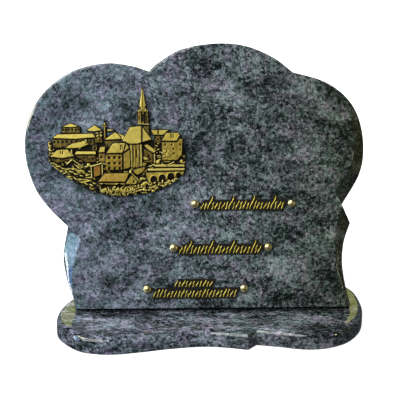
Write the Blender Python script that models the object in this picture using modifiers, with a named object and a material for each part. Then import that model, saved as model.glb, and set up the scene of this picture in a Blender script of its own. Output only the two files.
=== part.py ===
"""Grave plaque of polished granite with a cast bronze village relief.

A slab with three lobes leans back on a flat base of the same granite. The relief and three
inscription bars are fixed to its face, and two domed brass screws hold each bar.

Metres, +Z up. X runs to the right for someone who faces the plaque and Y runs to its back.
The origin is the middle of the base's underside.
"""
import math

import bmesh
import bpy
from mathutils import Matrix, Vector

# Clearance between pieces that touch
TOUCH_GAP = 0.0003

# Slab
SLAB_WIDTH = 0.400
SLAB_HEIGHT = 0.312
SLAB_THICKNESS = 0.025
SLAB_LEAN = math.radians(16.0)
SLAB_SIDE_SHIFT = -0.018     # its middle lies left of the base's, which centres its foot
FOOT_LAND = 0.005            # depth of the strip under its back edge that is cut level
ARRIS = 0.0025               # rounding of the edges that have no wide bevel
ARRIS_AT_NOTCH = 0.0008      # what is left of it where it runs out at the left notch

# Wide polished bevels: widths at the knots of the outline that they follow, and their slope
LEFT_BEVEL = (0.0095, 0.0052, 0.0072, 0.0150, 0.0175, 0.0222)
LOBE_BEVEL = (0.0025, 0.0050, 0.0080, 0.0100, 0.0130, 0.0155, 0.0196)
RIGHT_BEVEL = (0.0231, 0.0125, 0.0087, 0.0062, 0.0044, 0.0068)
BEVEL_DEPTH_SHARE = 0.62     # depth of a bevel for its width
SHOULDER_RUN = 0.0239        # the short straight edge under the right lobe

# Base
BASE_THICKNESS = 0.020
BASE_END_MARGIN = 0.0188     # from the slab's foot to each end of the base
BASE_BACK_MARGIN = 0.063     # behind the slab's foot
SLAB_SETBACK = 0.0685        # from the base's front to the slab's front edge
BASE_TOP_ROUND = 0.0075
BASE_FOOT_ROUND = 0.0010

# Relief
RELIEF_WIDTH = 0.1605
RELIEF_HEIGHT = 0.1285
RELIEF_MIDDLE_ACROSS = -0.231    # share of the slab's width, from its middle
RELIEF_FOOT_UP = 0.430           # share of the slab's height
RELIEF_PLATE = 0.0025            # its plate, which also carries rock and leaves
RELIEF_DEEPEST = 0.0075          # depth that the nearness of houses is measured on
SUNK_FOOT = 0.0010               # where leaves and bushes start inside the plate
EAVES_OVERHANG = 0.0012
ROOF_RISE = 0.0012               # the eaves stand out this far before a wall
WINDOW_DEPTH = 0.0008
WINDOW_WIDE_SHARE = 0.38         # of the wall that each window has to itself
WINDOW_HIGH_SHARE = 0.48
CUTTER_OVERSHOOT = 0.0004        # cutters stand out of the face that they cut
TOWER_CHAMFER = 0.0030
TOWER_BAND = 0.0010
BELFRY_LINTEL = 0.0035
BELFRY_DEPTH = 0.0015
SPIRE_TIP_WIDTH = 0.0010
TURRET_ROOF = 0.0045
ARCH_DEPTH = 0.0016
ARCH_SILL = 0.0012

# Inscription bars
BAR_THICKNESS = 0.0016
BAR_STRIP_HEIGHT = 0.0130
STROKE_RISE = 0.0009
STROKE_WIDTH = 0.0015
STROKE_PITCH = 0.0068
STROKE_SLANT = math.radians(22.0)
LUG_DIAMETER = 0.0086
LUG_THICKNESS = 0.0012
SCREW_DIAMETER = 0.0096
SCREW_RISE = 0.0036
SCREW_RIM = 0.0006               # height of the straight edge under a screw's dome
BAR_END_CLEARANCE = 0.0006       # from a screw's head to the strip between the screws

# Bars: name, left and right screw as shares of the slab's width from its middle, their height
# as a share of the slab's height, drop of the strip's middle below them as a share of its
# height, rows of strokes
BARS = (
    ("top", -0.002, 0.283, 0.397, 0.115, 1),
    ("middle", -0.066, 0.214, 0.231, 0.154, 1),
    ("bottom", -0.145, 0.142, 0.0740, 0.385, 2),
)

# Outline of the slab in shares of its width, from its middle, and of its height
LEFT_BODY = ((-0.361, 0.000), (-0.365, 0.038), (-0.383, 0.109),
             (-0.394, 0.186), (-0.390, 0.244), (-0.3795, 0.317))
LEFT_LOBE = ((-0.3795, 0.317), (-0.4295, 0.3815), (-0.471, 0.457), (-0.497, 0.563),
             (-0.4975, 0.670), (-0.469, 0.773), (-0.420, 0.847), (-0.349, 0.903),
             (-0.261, 0.928), (-0.187, 0.918), (-0.135, 0.897))
TOP_LOBE = ((-0.135, 0.897), (-0.101, 0.934), (-0.038, 0.9785), (0.059, 1.000),
            (0.149, 0.990), (0.230, 0.947), (0.288, 0.891))
RIGHT_LOBE = ((0.288, 0.891), (0.377, 0.858), (0.443, 0.801), (0.4835, 0.721),
              (0.500, 0.609), (0.488, 0.503), (0.4355, 0.383))
RIGHT_BODY = ((0.443, 0.250), (0.436, 0.179), (0.4395, 0.122), (0.448, 0.064), (0.462, 0.000))
SHOULDER_DIRECTION = Vector((0.462, -0.887)).normalized()

# Outline of the base in shares of its width and depth, both from the middle
BASE_RIGHT_RUN = ((0.139, -0.366), (0.199, -0.3975), (0.272, -0.4405), (0.322, -0.4485),
                  (0.375, -0.419), (0.430, -0.3365), (0.473, -0.190), (0.495, -0.020),
                  (0.4985, 0.150), (0.487, 0.335), (0.448, 0.466), (0.368, 0.500),
                  (0.290, 0.500))
BASE_LEFT_RUN = ((-0.230, 0.500), (-0.310, 0.498), (-0.396, 0.430), (-0.460, 0.241),
                 (-0.491, 0.080), (-0.500, -0.085), (-0.486, -0.250), (-0.428, -0.424),
                 (-0.376, -0.480), (-0.314, -0.496), (-0.2265, -0.4645), (-0.128, -0.4135),
                 (-0.027, -0.386), (0.048, -0.4085), (0.1105, -0.443))

# Outline of the relief below its skyline, in shares of its width and height
RELIEF_FOOT = ((-0.497, 0.500), (-0.495, 0.344), (-0.453, 0.266), (-0.369, 0.183),
               (-0.285, 0.109), (-0.186, 0.047), (-0.051, 0.006), (0.047, 0.000),
               (0.175, 0.016), (0.303, 0.047), (0.410, 0.121), (0.485, 0.193),
               (0.500, 0.256), (0.498, 0.371), (0.480, 0.500))

# What stands on the relief is in shares of its width, and upward in shares that reach
# SPIRE_TIP at the relief's full height.
# Houses: left, right, foot, eaves, ridge, inset of the ridge at both ends, how near they are
# from 0 to 1, window columns and rows
HOUSES = (
    (-0.475, -0.330, 0.380, 0.435, 0.470, 0.03, 0.15, 0, 0),
    (-0.410, -0.265, 0.400, 0.468, 0.535, 0.05, 0.20, 0, 0),
    (-0.300, -0.150, 0.380, 0.455, 0.500, 0.02, 0.15, 0, 0),
    (-0.230, -0.100, 0.380, 0.440, 0.522, 0.05, 0.25, 0, 0),
    (-0.110, 0.040, 0.360, 0.410, 0.468, 0.04, 0.20, 0, 0),
    (-0.385, -0.200, 0.310, 0.350, 0.408, 0.02, 0.45, 4, 1),
    (-0.490, -0.310, 0.230, 0.283, 0.350, 0.03, 0.60, 4, 1),
    (-0.310, -0.155, 0.215, 0.300, 0.338, 0.01, 0.55, 3, 2),
    (-0.190, -0.090, 0.150, 0.270, 0.330, 0.02, 0.65, 2, 3),
    (0.240, 0.395, 0.390, 0.445, 0.490, 0.02, 0.20, 0, 0),
    (0.330, 0.480, 0.220, 0.398, 0.462, 0.03, 0.35, 4, 3),
    (-0.090, 0.110, 0.165, 0.308, 0.392, 0.05, 0.80, 4, 3),
    (0.090, 0.250, 0.205, 0.378, 0.505, 0.05, 0.55, 3, 1),
    (-0.130, 0.095, 0.060, 0.108, 0.175, 0.02, 1.00, 4, 1),
)
CHURCH_TOWER = (0.150, 0.241, 0.300, 0.620)      # left, right, foot, top
SPIRE_TIP = (0.193, 0.8005)
SPIRE_FOOT_INSET = 0.010
TURRET = (-0.096, -0.072, 0.430, 0.560)
QUAY_BARS = ((0.215, 0.492, 0.222, 0.236), (0.215, 0.492, 0.196, 0.208))
QUAY_WALL = (0.235, 0.440, 0.075, 0.185)
QUAY_ARCHES = 4
SKYLINE_OF_PLATE = 0.400

STONE_COLOUR = (0.075, 0.090, 0.115, 1.0)
BRONZE_COLOUR = (0.45, 0.30, 0.10, 1.0)
BRASS_COLOUR = (0.78, 0.60, 0.26, 1.0)


def clear_scene():
    for item in list(bpy.data.objects):
        bpy.data.objects.remove(item, do_unlink=True)


def make_collection(name):
    group = bpy.data.collections.new(name)
    bpy.context.scene.collection.children.link(group)
    return group


def make_material(name, colour, roughness, metallic):
    material = bpy.data.materials.new(name)
    material.use_nodes = True
    shader = material.node_tree.nodes["Principled BSDF"]
    shader.inputs["Base Color"].default_value = colour
    shader.inputs["Roughness"].default_value = roughness
    shader.inputs["Metallic"].default_value = metallic
    material.diffuse_color = colour
    return material


def add_object(name, form, group, material=None, parent=None):
    """Turn a bmesh into a named object with outward faces."""
    bmesh.ops.recalc_face_normals(form, faces=form.faces)
    mesh = bpy.data.meshes.new(name)
    form.to_mesh(mesh)
    form.free()
    item = bpy.data.objects.new(name, mesh)
    group.objects.link(item)
    if material:
        mesh.materials.append(material)
    item.parent = parent
    return item


def smooth_run(knots, steps):
    """Points of a Catmull-Rom curve through the knots, with the same steps in each span."""
    knots = [Vector(knot) for knot in knots]
    before = knots[0] * 2 - knots[1]
    after = knots[-1] * 2 - knots[-2]
    chain = [before] + knots + [after]
    points = []
    for span in range(len(knots) - 1):
        a, b, c, d = chain[span:span + 4]
        for step in range(steps):
            t = step / steps
            points.append(0.5 * (2 * b + (c - a) * t + (2 * a - 5 * b + 4 * c - d) * t ** 2
                                 + (3 * b - a - 3 * c + d) * t ** 3))
    points.append(knots[-1])
    return points


def smooth_values(values, steps):
    """The same curve through single numbers."""
    return [point.x for point in smooth_run([(value, 0.0) for value in values], steps)]


def inward_normals(points):
    """Unit normals on the right of a run of points, the inside of a clockwise outline."""
    normals = []
    for index in range(len(points)):
        along = points[min(index + 1, len(points) - 1)] - points[max(index - 1, 0)]
        normals.append(Vector((along.y, -along.x)).normalized())
    return normals


def loft(rings):
    """A closed solid through rings that have the same number of points."""
    form = bmesh.new()
    layers = [[form.verts.new(point) for point in ring] for ring in rings]
    count = len(rings[0])
    for lower, upper in zip(layers, layers[1:]):
        for index in range(count):
            following = (index + 1) % count
            form.faces.new((lower[index], lower[following], upper[following], upper[index]))
    form.faces.new(layers[0])
    form.faces.new(layers[-1])
    return form


def bevelled_columns(outer, widths, end_directions, blend_start, blend_end):
    """Front, middle and outer point of the bevel at each point of a run of the outline.

    The bevel widens inward along the outline's normal. At an end that meets a straight edge
    it turns to follow that edge, so that the edge's wall stays flat.
    """
    normals = inward_normals(outer)
    columns = []
    last = len(outer) - 1
    for index, point in enumerate(outer):
        share = index / last
        direction = normals[index]
        if blend_start and share < blend_start:
            direction = direction.lerp(end_directions[0], (1 - share / blend_start) ** 2)
        if blend_end and share > 1 - blend_end:
            direction = direction.lerp(end_directions[1], (1 - (1 - share) / blend_end) ** 2)
        width = widths[index]
        front = point + direction.normalized() * width
        depth = width * BEVEL_DEPTH_SHARE
        middle = (front + point) / 2
        columns.append(((front, 0.0), (middle, depth / 2), (point, depth)))
    return columns


def rounded_columns(outer, radius_at):
    """Front, middle and outer point of the small rounded arris along a run."""
    columns = []
    last = len(outer) - 1
    for index, (point, normal) in enumerate(zip(outer, inward_normals(outer))):
        radius = radius_at(index / last)
        near = 1 - math.cos(math.radians(45))
        columns.append(((point + normal * radius, 0.0),
                        (point + normal * radius * near, radius * near),
                        (point, radius)))
    return columns


def slab_run(knots, steps):
    return smooth_run([(x * SLAB_WIDTH, y * SLAB_HEIGHT) for x, y in knots], steps)


def slab_columns():
    """Columns of the slab's edge, clockwise from the lower left corner."""
    steps = 5
    left_edge = slab_run(LEFT_LOBE, steps)
    straight = (left_edge[0] - left_edge[2]).normalized()
    body = slab_run(LEFT_BODY, steps)
    widths = smooth_values(LEFT_BEVEL, steps)
    columns = bevelled_columns(body, widths, (None, straight), 0, 0.3)
    level = Vector((1, 0))
    columns[0] = tuple((body[0] + level * widths[0] * share, depth)
                       for share, (_, depth) in zip((1, 0.5, 0), columns[0]))

    def fading(share):
        return ARRIS_AT_NOTCH + (ARRIS - ARRIS_AT_NOTCH) * min(1.0, share * 6)

    first_step = left_edge[0] + (left_edge[1] - left_edge[0]) * 0.3
    left_edge[0] = first_step
    columns += rounded_columns(left_edge, fading)
    columns += rounded_columns(slab_run(TOP_LOBE, steps), lambda share: ARRIS)[1:]

    lobe = slab_run(RIGHT_LOBE, steps)
    back_up = -SHOULDER_DIRECTION
    columns += bevelled_columns(lobe, smooth_values(LOBE_BEVEL, steps), (None, back_up),
                                0, 0.3)[1:]
    corner = lobe[-1] + SHOULDER_DIRECTION * SHOULDER_RUN
    corner_share = (corner.x / SLAB_WIDTH, corner.y / SLAB_HEIGHT)
    body = slab_run((corner_share,) + RIGHT_BODY, steps)
    widths = smooth_values(RIGHT_BEVEL, steps)
    side = bevelled_columns(body, widths, (back_up, None), 0.3, 0)
    side[-1] = tuple((body[-1] - level * widths[-1] * share, depth)
                     for share, (_, depth) in zip((1, 0.5, 0), side[-1]))
    return columns + side


def build_slab(group, material, parent):
    """The slab in its own frame: X right, Y up its face, Z out of its face."""
    columns = slab_columns()
    rings = [[Vector((point.x, point.y, -depth)) for point, depth in level]
             for level in zip(*columns)]
    outer = [column[2][0] for column in columns]
    rings.append([Vector((point.x, point.y, FOOT_LAND - SLAB_THICKNESS)) for point in outer])
    back = [Vector((point.x, point.y, -SLAB_THICKNESS)) for point in outer]
    land_rise = FOOT_LAND * math.tan(SLAB_LEAN)
    back[0].y = land_rise
    back[-1].y = land_rise
    rings.append(back)
    return add_object("slab", loft(rings), group, material, parent)


def base_size():
    foot_width = (RIGHT_BODY[-1][0] - LEFT_BODY[0][0]) * SLAB_WIDTH
    width = foot_width + 2 * BASE_END_MARGIN
    depth = SLAB_SETBACK + SLAB_THICKNESS * math.cos(SLAB_LEAN) + BASE_BACK_MARGIN
    return width, depth


def build_base(group, material):
    width, depth = base_size()
    outline = []
    for knots in (BASE_RIGHT_RUN, BASE_LEFT_RUN):
        outline += smooth_run([(x * width, y * depth) for x, y in knots], 5)
    form = bmesh.new()
    ring = [form.verts.new((point.x, point.y, 0.0)) for point in outline]
    floor = form.faces.new(ring)
    raised = bmesh.ops.extrude_face_region(form, geom=[floor])["geom"]
    top = [part for part in raised if isinstance(part, bmesh.types.BMVert)]
    bmesh.ops.translate(form, verts=top, vec=(0, 0, BASE_THICKNESS))
    for height, radius, segments in ((BASE_THICKNESS, BASE_TOP_ROUND, 4), (0, BASE_FOOT_ROUND, 1)):
        rim = [edge for edge in form.edges
               if all(abs(vert.co.z - height) < 1e-6 for vert in edge.verts)]
        bmesh.ops.bevel(form, geom=rim, offset=radius, segments=segments, profile=0.5,
                        affect="EDGES", clamp_overlap=True)
    return add_object("base", form, group, material)


def prism(outline, low, high):
    """A flat outline given thickness from low to high."""
    return loft([[Vector((x, y, z)) for x, y in outline] for z in (low, high)])


def hull(points):
    """The convex solid around some points."""
    form = bmesh.new()
    for point in points:
        form.verts.new(point)
    bmesh.ops.convex_hull(form, input=form.verts)
    loose = [vert for vert in form.verts if not vert.link_faces]
    bmesh.ops.delete(form, geom=loose, context="VERTS")
    return form


def block(left, right, foot, top, front, back=0.0):
    """A box between two heights above the slab's face."""
    form = bmesh.new()
    size = (right - left, top - foot, front - back)
    centre = ((left + right) / 2, (foot + top) / 2, (front + back) / 2)
    bmesh.ops.create_cube(form, size=1.0, matrix=Matrix.Translation(centre)
                          @ Matrix.Diagonal((*size, 1.0)))
    return form


def joined(name, forms, group, parent):
    """One helper object that holds several closed forms."""
    whole = bmesh.new()
    for form in forms:
        mesh = bpy.data.meshes.new("part_of_" + name)
        bmesh.ops.recalc_face_normals(form, faces=form.faces)
        form.to_mesh(mesh)
        form.free()
        whole.from_mesh(mesh)
        bpy.data.meshes.remove(mesh)
    mesh = bpy.data.meshes.new(name)
    whole.to_mesh(mesh)
    whole.free()
    item = bpy.data.objects.new(name, mesh)
    item.parent = parent
    item.hide_render = True
    item.display_type = "WIRE"
    group.objects.link(item)
    return item


def combine(item, other, operation):
    step = item.modifiers.new(other.name, "BOOLEAN")
    step.operation = operation
    step.object = other
    step.solver = "EXACT"
    step.use_self = True


def across(share):
    """Distance to the right of the relief's middle."""
    return share * RELIEF_WIDTH


def up(share):
    """Height above the relief's foot."""
    return share * RELIEF_HEIGHT / SPIRE_TIP[1]


def relief_level(nearness):
    """Height of a wall's front above the slab for a house that is this near."""
    return RELIEF_PLATE + (RELIEF_DEEPEST - RELIEF_PLATE) * (0.15 + 0.6 * nearness)


def house_forms(house):
    """Wall, sloping roof and window pockets of one house."""
    left, right, foot, eaves, ridge, inset, nearness, columns, rows = house
    left, right, inset = across(left), across(right), across(inset)
    foot, eaves, ridge = up(foot), up(eaves), up(ridge)
    front = relief_level(nearness)
    solids = [block(left, right, foot, eaves + EAVES_OVERHANG, front)]
    eave_line = eaves - EAVES_OVERHANG / 2
    eave_left = left - EAVES_OVERHANG
    eave_right = right + EAVES_OVERHANG
    solids.append(hull([
        (eave_left, eave_line, 0), (eave_right, eave_line, 0),
        (left + inset, ridge, 0), (right - inset, ridge, 0),
        (eave_left, eave_line, front + ROOF_RISE), (eave_right, eave_line, front + ROOF_RISE),
        (left + inset, ridge, front - ROOF_RISE / 3),
        (right - inset, ridge, front - ROOF_RISE / 3)]))
    pockets = []
    for column in range(columns):
        for row in range(rows):
            x = left + (right - left) * (column + 0.5) / columns
            y = foot + (eaves - foot) * (row + 0.42) / rows
            half_wide = (right - left) / columns * WINDOW_WIDE_SHARE / 2
            half_high = (eaves - foot) / rows * WINDOW_HIGH_SHARE / 2
            pockets.append(block(x - half_wide, x + half_wide, y - half_high, y + half_high,
                                 front + CUTTER_OVERSHOOT, front - WINDOW_DEPTH))
    return solids, pockets


def church_forms():
    """Tower with a bell opening, its spire, and a small turret."""
    left, right, foot, top = CHURCH_TOWER
    left, right, foot, top = across(left), across(right), up(foot), up(top)
    front = relief_level(0.85)
    side = front * 0.6
    middle = (left + right) / 2
    solids = [hull([(left, foot, 0), (right, foot, 0), (left, top, 0), (right, top, 0),
                    (left, foot, side), (right, foot, side), (left, top, side),
                    (right, top, side), (left + TOWER_CHAMFER, foot, front),
                    (right - TOWER_CHAMFER, foot, front), (left + TOWER_CHAMFER, top, front),
                    (right - TOWER_CHAMFER, top, front)])]
    solids.append(block(left - TOWER_BAND, right + TOWER_BAND, top - 2 * TOWER_BAND, top,
                        front + TOWER_BAND / 2))
    inset = across(SPIRE_FOOT_INSET)
    spire_foot = top - TOWER_BAND
    tip_left = across(SPIRE_TIP[0]) - SPIRE_TIP_WIDTH / 2
    tip_right = tip_left + SPIRE_TIP_WIDTH
    tip_up = up(SPIRE_TIP[1])
    solids.append(hull([(left + inset, spire_foot, 0), (right - inset, spire_foot, 0),
                        (left + inset, spire_foot, side), (right - inset, spire_foot, side),
                        (middle - inset, spire_foot, front), (middle + inset, spire_foot, front),
                        (tip_left, tip_up, 0), (tip_right, tip_up, 0),
                        (tip_left, tip_up, front * 0.4), (tip_right, tip_up, front * 0.4)]))
    opening = (right - left) * 0.16
    sill = top - (right - left) * 0.85
    pockets = [block(middle - opening, middle + opening, sill, top - BELFRY_LINTEL,
                     front + CUTTER_OVERSHOOT, front - BELFRY_DEPTH)]
    left, right, foot, top = TURRET
    left, right, foot, top = across(left), across(right), up(foot), up(top)
    front = relief_level(0.1)
    solids.append(block(left, right, foot, top, front))
    roof_front = front + TOWER_BAND / 2
    tip = (left + right) / 2
    solids.append(hull([(left - TOWER_BAND, top, 0), (right + TOWER_BAND, top, 0),
                        (left - TOWER_BAND, top, roof_front), (right + TOWER_BAND, top, roof_front),
                        (tip, top + TURRET_ROOF, 0), (tip, top + TURRET_ROOF, front * 0.6)]))
    return solids, pockets


def quay_forms():
    """Two long rails of the quay and the wall of arches below them."""
    solids = []
    for left, right, foot, top in QUAY_BARS:
        solids.append(block(across(left), across(right), up(foot), up(top), relief_level(0.95)))
    left, right, foot, top = QUAY_WALL
    left, right, foot, top = across(left), across(right), up(foot), up(top)
    front = relief_level(0.9)
    solids.append(block(left, right, foot, top, front))
    pockets = []
    bay = (right - left) / QUAY_ARCHES
    half = bay * 0.30
    sill = foot + ARCH_SILL
    spring = foot + (top - foot) * 0.55
    crown = top - ARCH_SILL / 2
    for arch in range(QUAY_ARCHES):
        x = left + bay * (arch + 0.5)
        outline = [(x - half, sill), (x - half, spring)]
        outline += [(x - half * math.cos(turn), spring + (crown - spring) * math.sin(turn))
                    for turn in (math.pi * step / 6 for step in range(1, 6))]
        outline += [(x + half, spring), (x + half, sill)]
        pockets.append(prism(outline, front - ARCH_DEPTH, front + CUTTER_OVERSHOOT))
    return solids, pockets


def spindle(x, y, length, width, angle, front):
    """A long low ridge with pointed ends, such as a leaf, a reed or a cleft of rock."""
    along = Vector((math.cos(angle), math.sin(angle)))
    across = Vector((-along.y, along.x))
    centre = Vector((x, y))
    ends = [centre - along * length / 2, centre + along * length / 2]
    sides = [centre - across * width / 2, centre + across * width / 2]
    crest = [centre - along * length / 5, centre + along * length / 5]
    points = [(*point, SUNK_FOOT) for point in ends + sides]
    points += [(*point, RELIEF_PLATE + TOUCH_GAP) for point in ends + sides]
    points += [(*point, front) for point in crest]
    return hull(points)


def greenery_forms():
    """Rock and leaves at the lower left, reeds below the front house, bushes at the right."""
    solids = []
    for index in range(11):
        share = index / 10
        x = across(-0.445 + 0.30 * share)
        y = up(0.205 - 0.135 * share + 0.018 * math.sin(5 * index))
        angle = math.radians(-34 + 14 * math.sin(3 * index))
        solids.append(spindle(x, y, across(0.075), up(0.017), angle, relief_level(0.45)))
    for index in range(9):
        x = across(-0.085 + 0.030 * index)
        y = up(0.034 + 0.004 * math.sin(4 * index))
        angle = math.radians(90 + 9 * math.sin(7 * index))
        solids.append(spindle(x, y, up(0.050), across(0.012), angle, relief_level(0.5)))
    for index in range(10):
        turn = 2.4 * index
        spread = 0.022 * math.sqrt(index)
        x = across(0.365 + spread * math.cos(turn) * 1.2)
        y = up(0.262 + spread * math.sin(turn) * 0.55)
        solids.append(bush(x, y, across(0.016), relief_level(0.85)))
    for index in range(7):
        x = across(0.205 + 0.030 * index)
        y = up(0.060 + 0.0022 * index ** 2)
        solids.append(bush(x, y, across(0.017), relief_level(0.6)))
    return solids


def bush(x, y, radius, front):
    """A faceted dome of leaves."""
    form = bmesh.new()
    bmesh.ops.create_icosphere(form, subdivisions=1, radius=radius)
    rise = front - RELIEF_PLATE
    bmesh.ops.scale(form, verts=form.verts, vec=(1, 1, rise / radius))
    bmesh.ops.translate(form, verts=form.verts, vec=(x, y, RELIEF_PLATE))
    upper = [vert.co for vert in form.verts if vert.co.z > RELIEF_PLATE]
    return hull([(*point.xy, SUNK_FOOT) for point in upper] + [tuple(point) for point in upper])


def build_relief(group, helpers, material, parent):
    """One casting: a plate below the skyline, with everything on it fused to it."""
    outline = smooth_run([(across(x), y * RELIEF_HEIGHT) for x, y in RELIEF_FOOT], 3)
    rim = [(point.x, min(point.y, up(SKYLINE_OF_PLATE))) for point in outline]
    relief = add_object("village_relief", prism(rim, 0.0, RELIEF_PLATE), group, material, parent)
    solids = []
    pockets = []
    for house in HOUSES:
        more_solids, more_pockets = house_forms(house)
        solids += more_solids
        pockets += more_pockets
    for more_solids, more_pockets in (church_forms(), quay_forms()):
        solids += more_solids
        pockets += more_pockets
    solids += greenery_forms()
    combine(relief, joined("relief_forms", solids, helpers, parent), "UNION")
    combine(relief, joined("relief_pockets", pockets, helpers, parent), "DIFFERENCE")
    return relief


def disc(x, y, radius, low, high, sides=20):
    outline = [(x + radius * math.cos(2 * math.pi * step / sides),
                y + radius * math.sin(2 * math.pi * step / sides)) for step in range(sides)]
    return prism(outline, low, high)


def stroke(x, foot, top, front):
    """A slanted stroke that stands for writing and is no letter."""
    lean = math.tan(STROKE_SLANT) * (top - foot)
    half = STROKE_WIDTH / 2
    return prism([(x - half, foot), (x + half, foot), (x + lean + half, top),
                  (x + lean - half, top)], 0.0, front)


def stroke_row(left, right, foot, height, tall_height, front):
    """Strokes of three heights in a steady rhythm, with a tab behind each tall one."""
    forms = []
    count = max(2, round((right - left) / STROKE_PITCH))
    pitch = (right - left) / count
    for index in range(count):
        x = left + pitch * (index + 0.2)
        tall = index % 5 == 1
        top = foot + (tall_height if tall else height * (0.75 if index % 2 else 1.0))
        forms.append(stroke(x, foot, top, front))
        if tall:
            lean = math.tan(STROKE_SLANT) * (top - foot)
            tab = STROKE_WIDTH * 1.2
            forms.append(prism([(x - tab, foot), (x + tab, foot), (x + lean + tab, top + tab),
                                (x + lean - tab, top + tab)], 0.0, BAR_THICKNESS))
    return forms


def build_bar(bar, group, helpers, material, parent):
    name, screw_left, screw_right, height, drop, rows = bar
    screw_left *= SLAB_WIDTH
    screw_right *= SLAB_WIDTH
    middle_up = height * SLAB_HEIGHT
    to_strip = SCREW_DIAMETER / 2 + BAR_END_CLEARANCE
    left = screw_left + to_strip
    right = screw_right - to_strip
    lug = LUG_DIAMETER / 2
    foot = middle_up - (drop + 0.5) * BAR_STRIP_HEIGHT
    top = foot + BAR_STRIP_HEIGHT
    strip = block(left, right, foot, top, BAR_THICKNESS)
    item = add_object("inscription_bar_" + name, strip, group, material, parent)
    forms = []
    for x, inner in ((screw_left, left), (screw_right, right)):
        forms.append(disc(x, middle_up, lug, 0.0, LUG_THICKNESS))
        neck = lug * 0.6
        reach = STROKE_WIDTH if inner > x else -STROKE_WIDTH
        forms.append(block(min(x, inner + reach), max(x, inner + reach), middle_up - neck,
                           middle_up + neck * 0.6, LUG_THICKNESS))
    front = BAR_THICKNESS + STROKE_RISE
    edge = STROKE_WIDTH
    inside = BAR_STRIP_HEIGHT - 2 * edge
    if rows == 1:
        forms += stroke_row(left + edge, right - 4 * edge, foot + edge, inside * 0.72,
                            inside * 1.5, front)
    else:
        row = BAR_STRIP_HEIGHT * 0.8
        upper_left = left + (right - left) * 0.25
        upper_right = left + (right - left) * 0.73
        forms.append(block(upper_left, upper_right, top - edge, top + row, BAR_THICKNESS))
        forms += stroke_row(left + edge, right - 3 * edge, foot + edge, inside * 0.7,
                            inside * 0.95, front)
        forms += stroke_row(upper_left + edge, upper_right - 3 * edge, top + edge / 2,
                            row * 0.62, row * 0.72, front)
    combine(item, joined("forms_of_bar_" + name, forms, helpers, parent), "UNION")
    return (name + "_left", screw_left, middle_up), (name + "_right", screw_right, middle_up)


def screw_profile():
    """Half outline of the domed head, from the top of its axis round to its underside."""
    radius = SCREW_DIAMETER / 2
    dome = SCREW_RISE - SCREW_RIM
    steps = 5
    points = []
    for step in range(steps + 1):
        turn = math.pi / 2 * step / steps
        points.append((radius * math.sin(turn), SCREW_RIM + dome * math.cos(turn)))
    return points + [(radius, 0.0), (0.0, 0.0)]


def build_screw(name, x, y, group, material, parent):
    mesh = bpy.data.meshes.new("screw_" + name)
    points = [(across, 0.0, up) for across, up in screw_profile()]
    mesh.from_pydata(points, [(index, index + 1) for index in range(len(points) - 1)], [])
    mesh.materials.append(material)
    item = bpy.data.objects.new("screw_" + name, mesh)
    group.objects.link(item)
    item.parent = parent
    item.location = (x, y, LUG_THICKNESS + TOUCH_GAP)
    turn = item.modifiers.new("turn", "SCREW")
    turn.axis = "Z"
    turn.angle = 2 * math.pi
    turn.steps = 20
    turn.render_steps = 20
    turn.use_merge_vertices = True
    turn.merge_threshold = 0.00001
    turn.use_smooth_shade = True
    return item


def add_empty(name, group, location, rotation_x=0.0, parent=None):
    item = bpy.data.objects.new(name, None)
    item.location = location
    item.rotation_euler = (rotation_x, 0.0, 0.0)
    item.parent = parent
    group.objects.link(item)
    return item


def main():
    clear_scene()
    group = make_collection("grave_plaque")
    helpers = make_collection("cutters")
    granite = make_material("polished granite", STONE_COLOUR, 0.12, 0.0)
    bronze = make_material("patinated bronze", BRONZE_COLOUR, 0.38, 1.0)
    brass = make_material("polished brass", BRASS_COLOUR, 0.22, 1.0)

    _, depth = base_size()
    build_base(group, granite)
    front_edge_rise = (SLAB_THICKNESS - FOOT_LAND) * math.sin(SLAB_LEAN)
    face = add_empty("slab_face", group,
                     (SLAB_SIDE_SHIFT, -depth / 2 + SLAB_SETBACK,
                      BASE_THICKNESS + TOUCH_GAP + front_edge_rise),
                     math.pi / 2 - SLAB_LEAN)
    build_slab(group, granite, face)

    bars_face = add_empty("ornament_face", group, (0.0, 0.0, TOUCH_GAP), 0.0, face)
    relief_foot = add_empty("relief_foot", group,
                            (RELIEF_MIDDLE_ACROSS * SLAB_WIDTH, RELIEF_FOOT_UP * SLAB_HEIGHT,
                             TOUCH_GAP), 0.0, face)
    build_relief(group, helpers, bronze, relief_foot)
    for bar in BARS:
        for name, x, y in build_bar(bar, group, helpers, bronze, bars_face):
            build_screw(name, x, y, group, brass, bars_face)


main()
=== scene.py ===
"""Grave plaque of polished blue-grey granite with gilt bronze ornaments, in a plain pale studio.

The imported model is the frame. Finer slab, base, relief, bars and screw heads stand for its nodes.
Metres, +Z up, X to the right and Y to the back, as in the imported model.
"""

import math

import bmesh
import bpy
import numpy as np
from mathutils import Matrix, Vector


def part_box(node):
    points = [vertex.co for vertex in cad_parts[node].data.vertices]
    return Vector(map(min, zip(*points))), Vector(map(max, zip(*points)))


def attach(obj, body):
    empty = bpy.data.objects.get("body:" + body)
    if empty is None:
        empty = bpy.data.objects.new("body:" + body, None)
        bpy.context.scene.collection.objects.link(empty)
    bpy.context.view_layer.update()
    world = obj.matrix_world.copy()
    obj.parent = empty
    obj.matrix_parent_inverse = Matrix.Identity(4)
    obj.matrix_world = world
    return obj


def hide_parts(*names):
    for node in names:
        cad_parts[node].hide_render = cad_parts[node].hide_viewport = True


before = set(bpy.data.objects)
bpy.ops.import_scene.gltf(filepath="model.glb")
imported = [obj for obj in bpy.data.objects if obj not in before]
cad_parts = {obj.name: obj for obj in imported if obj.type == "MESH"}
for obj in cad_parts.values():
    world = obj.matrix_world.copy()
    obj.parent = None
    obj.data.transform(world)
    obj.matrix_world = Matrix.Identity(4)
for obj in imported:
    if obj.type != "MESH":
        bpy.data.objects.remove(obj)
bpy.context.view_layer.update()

MM = 0.001
TOUCH_GAP = 0.0003

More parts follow.
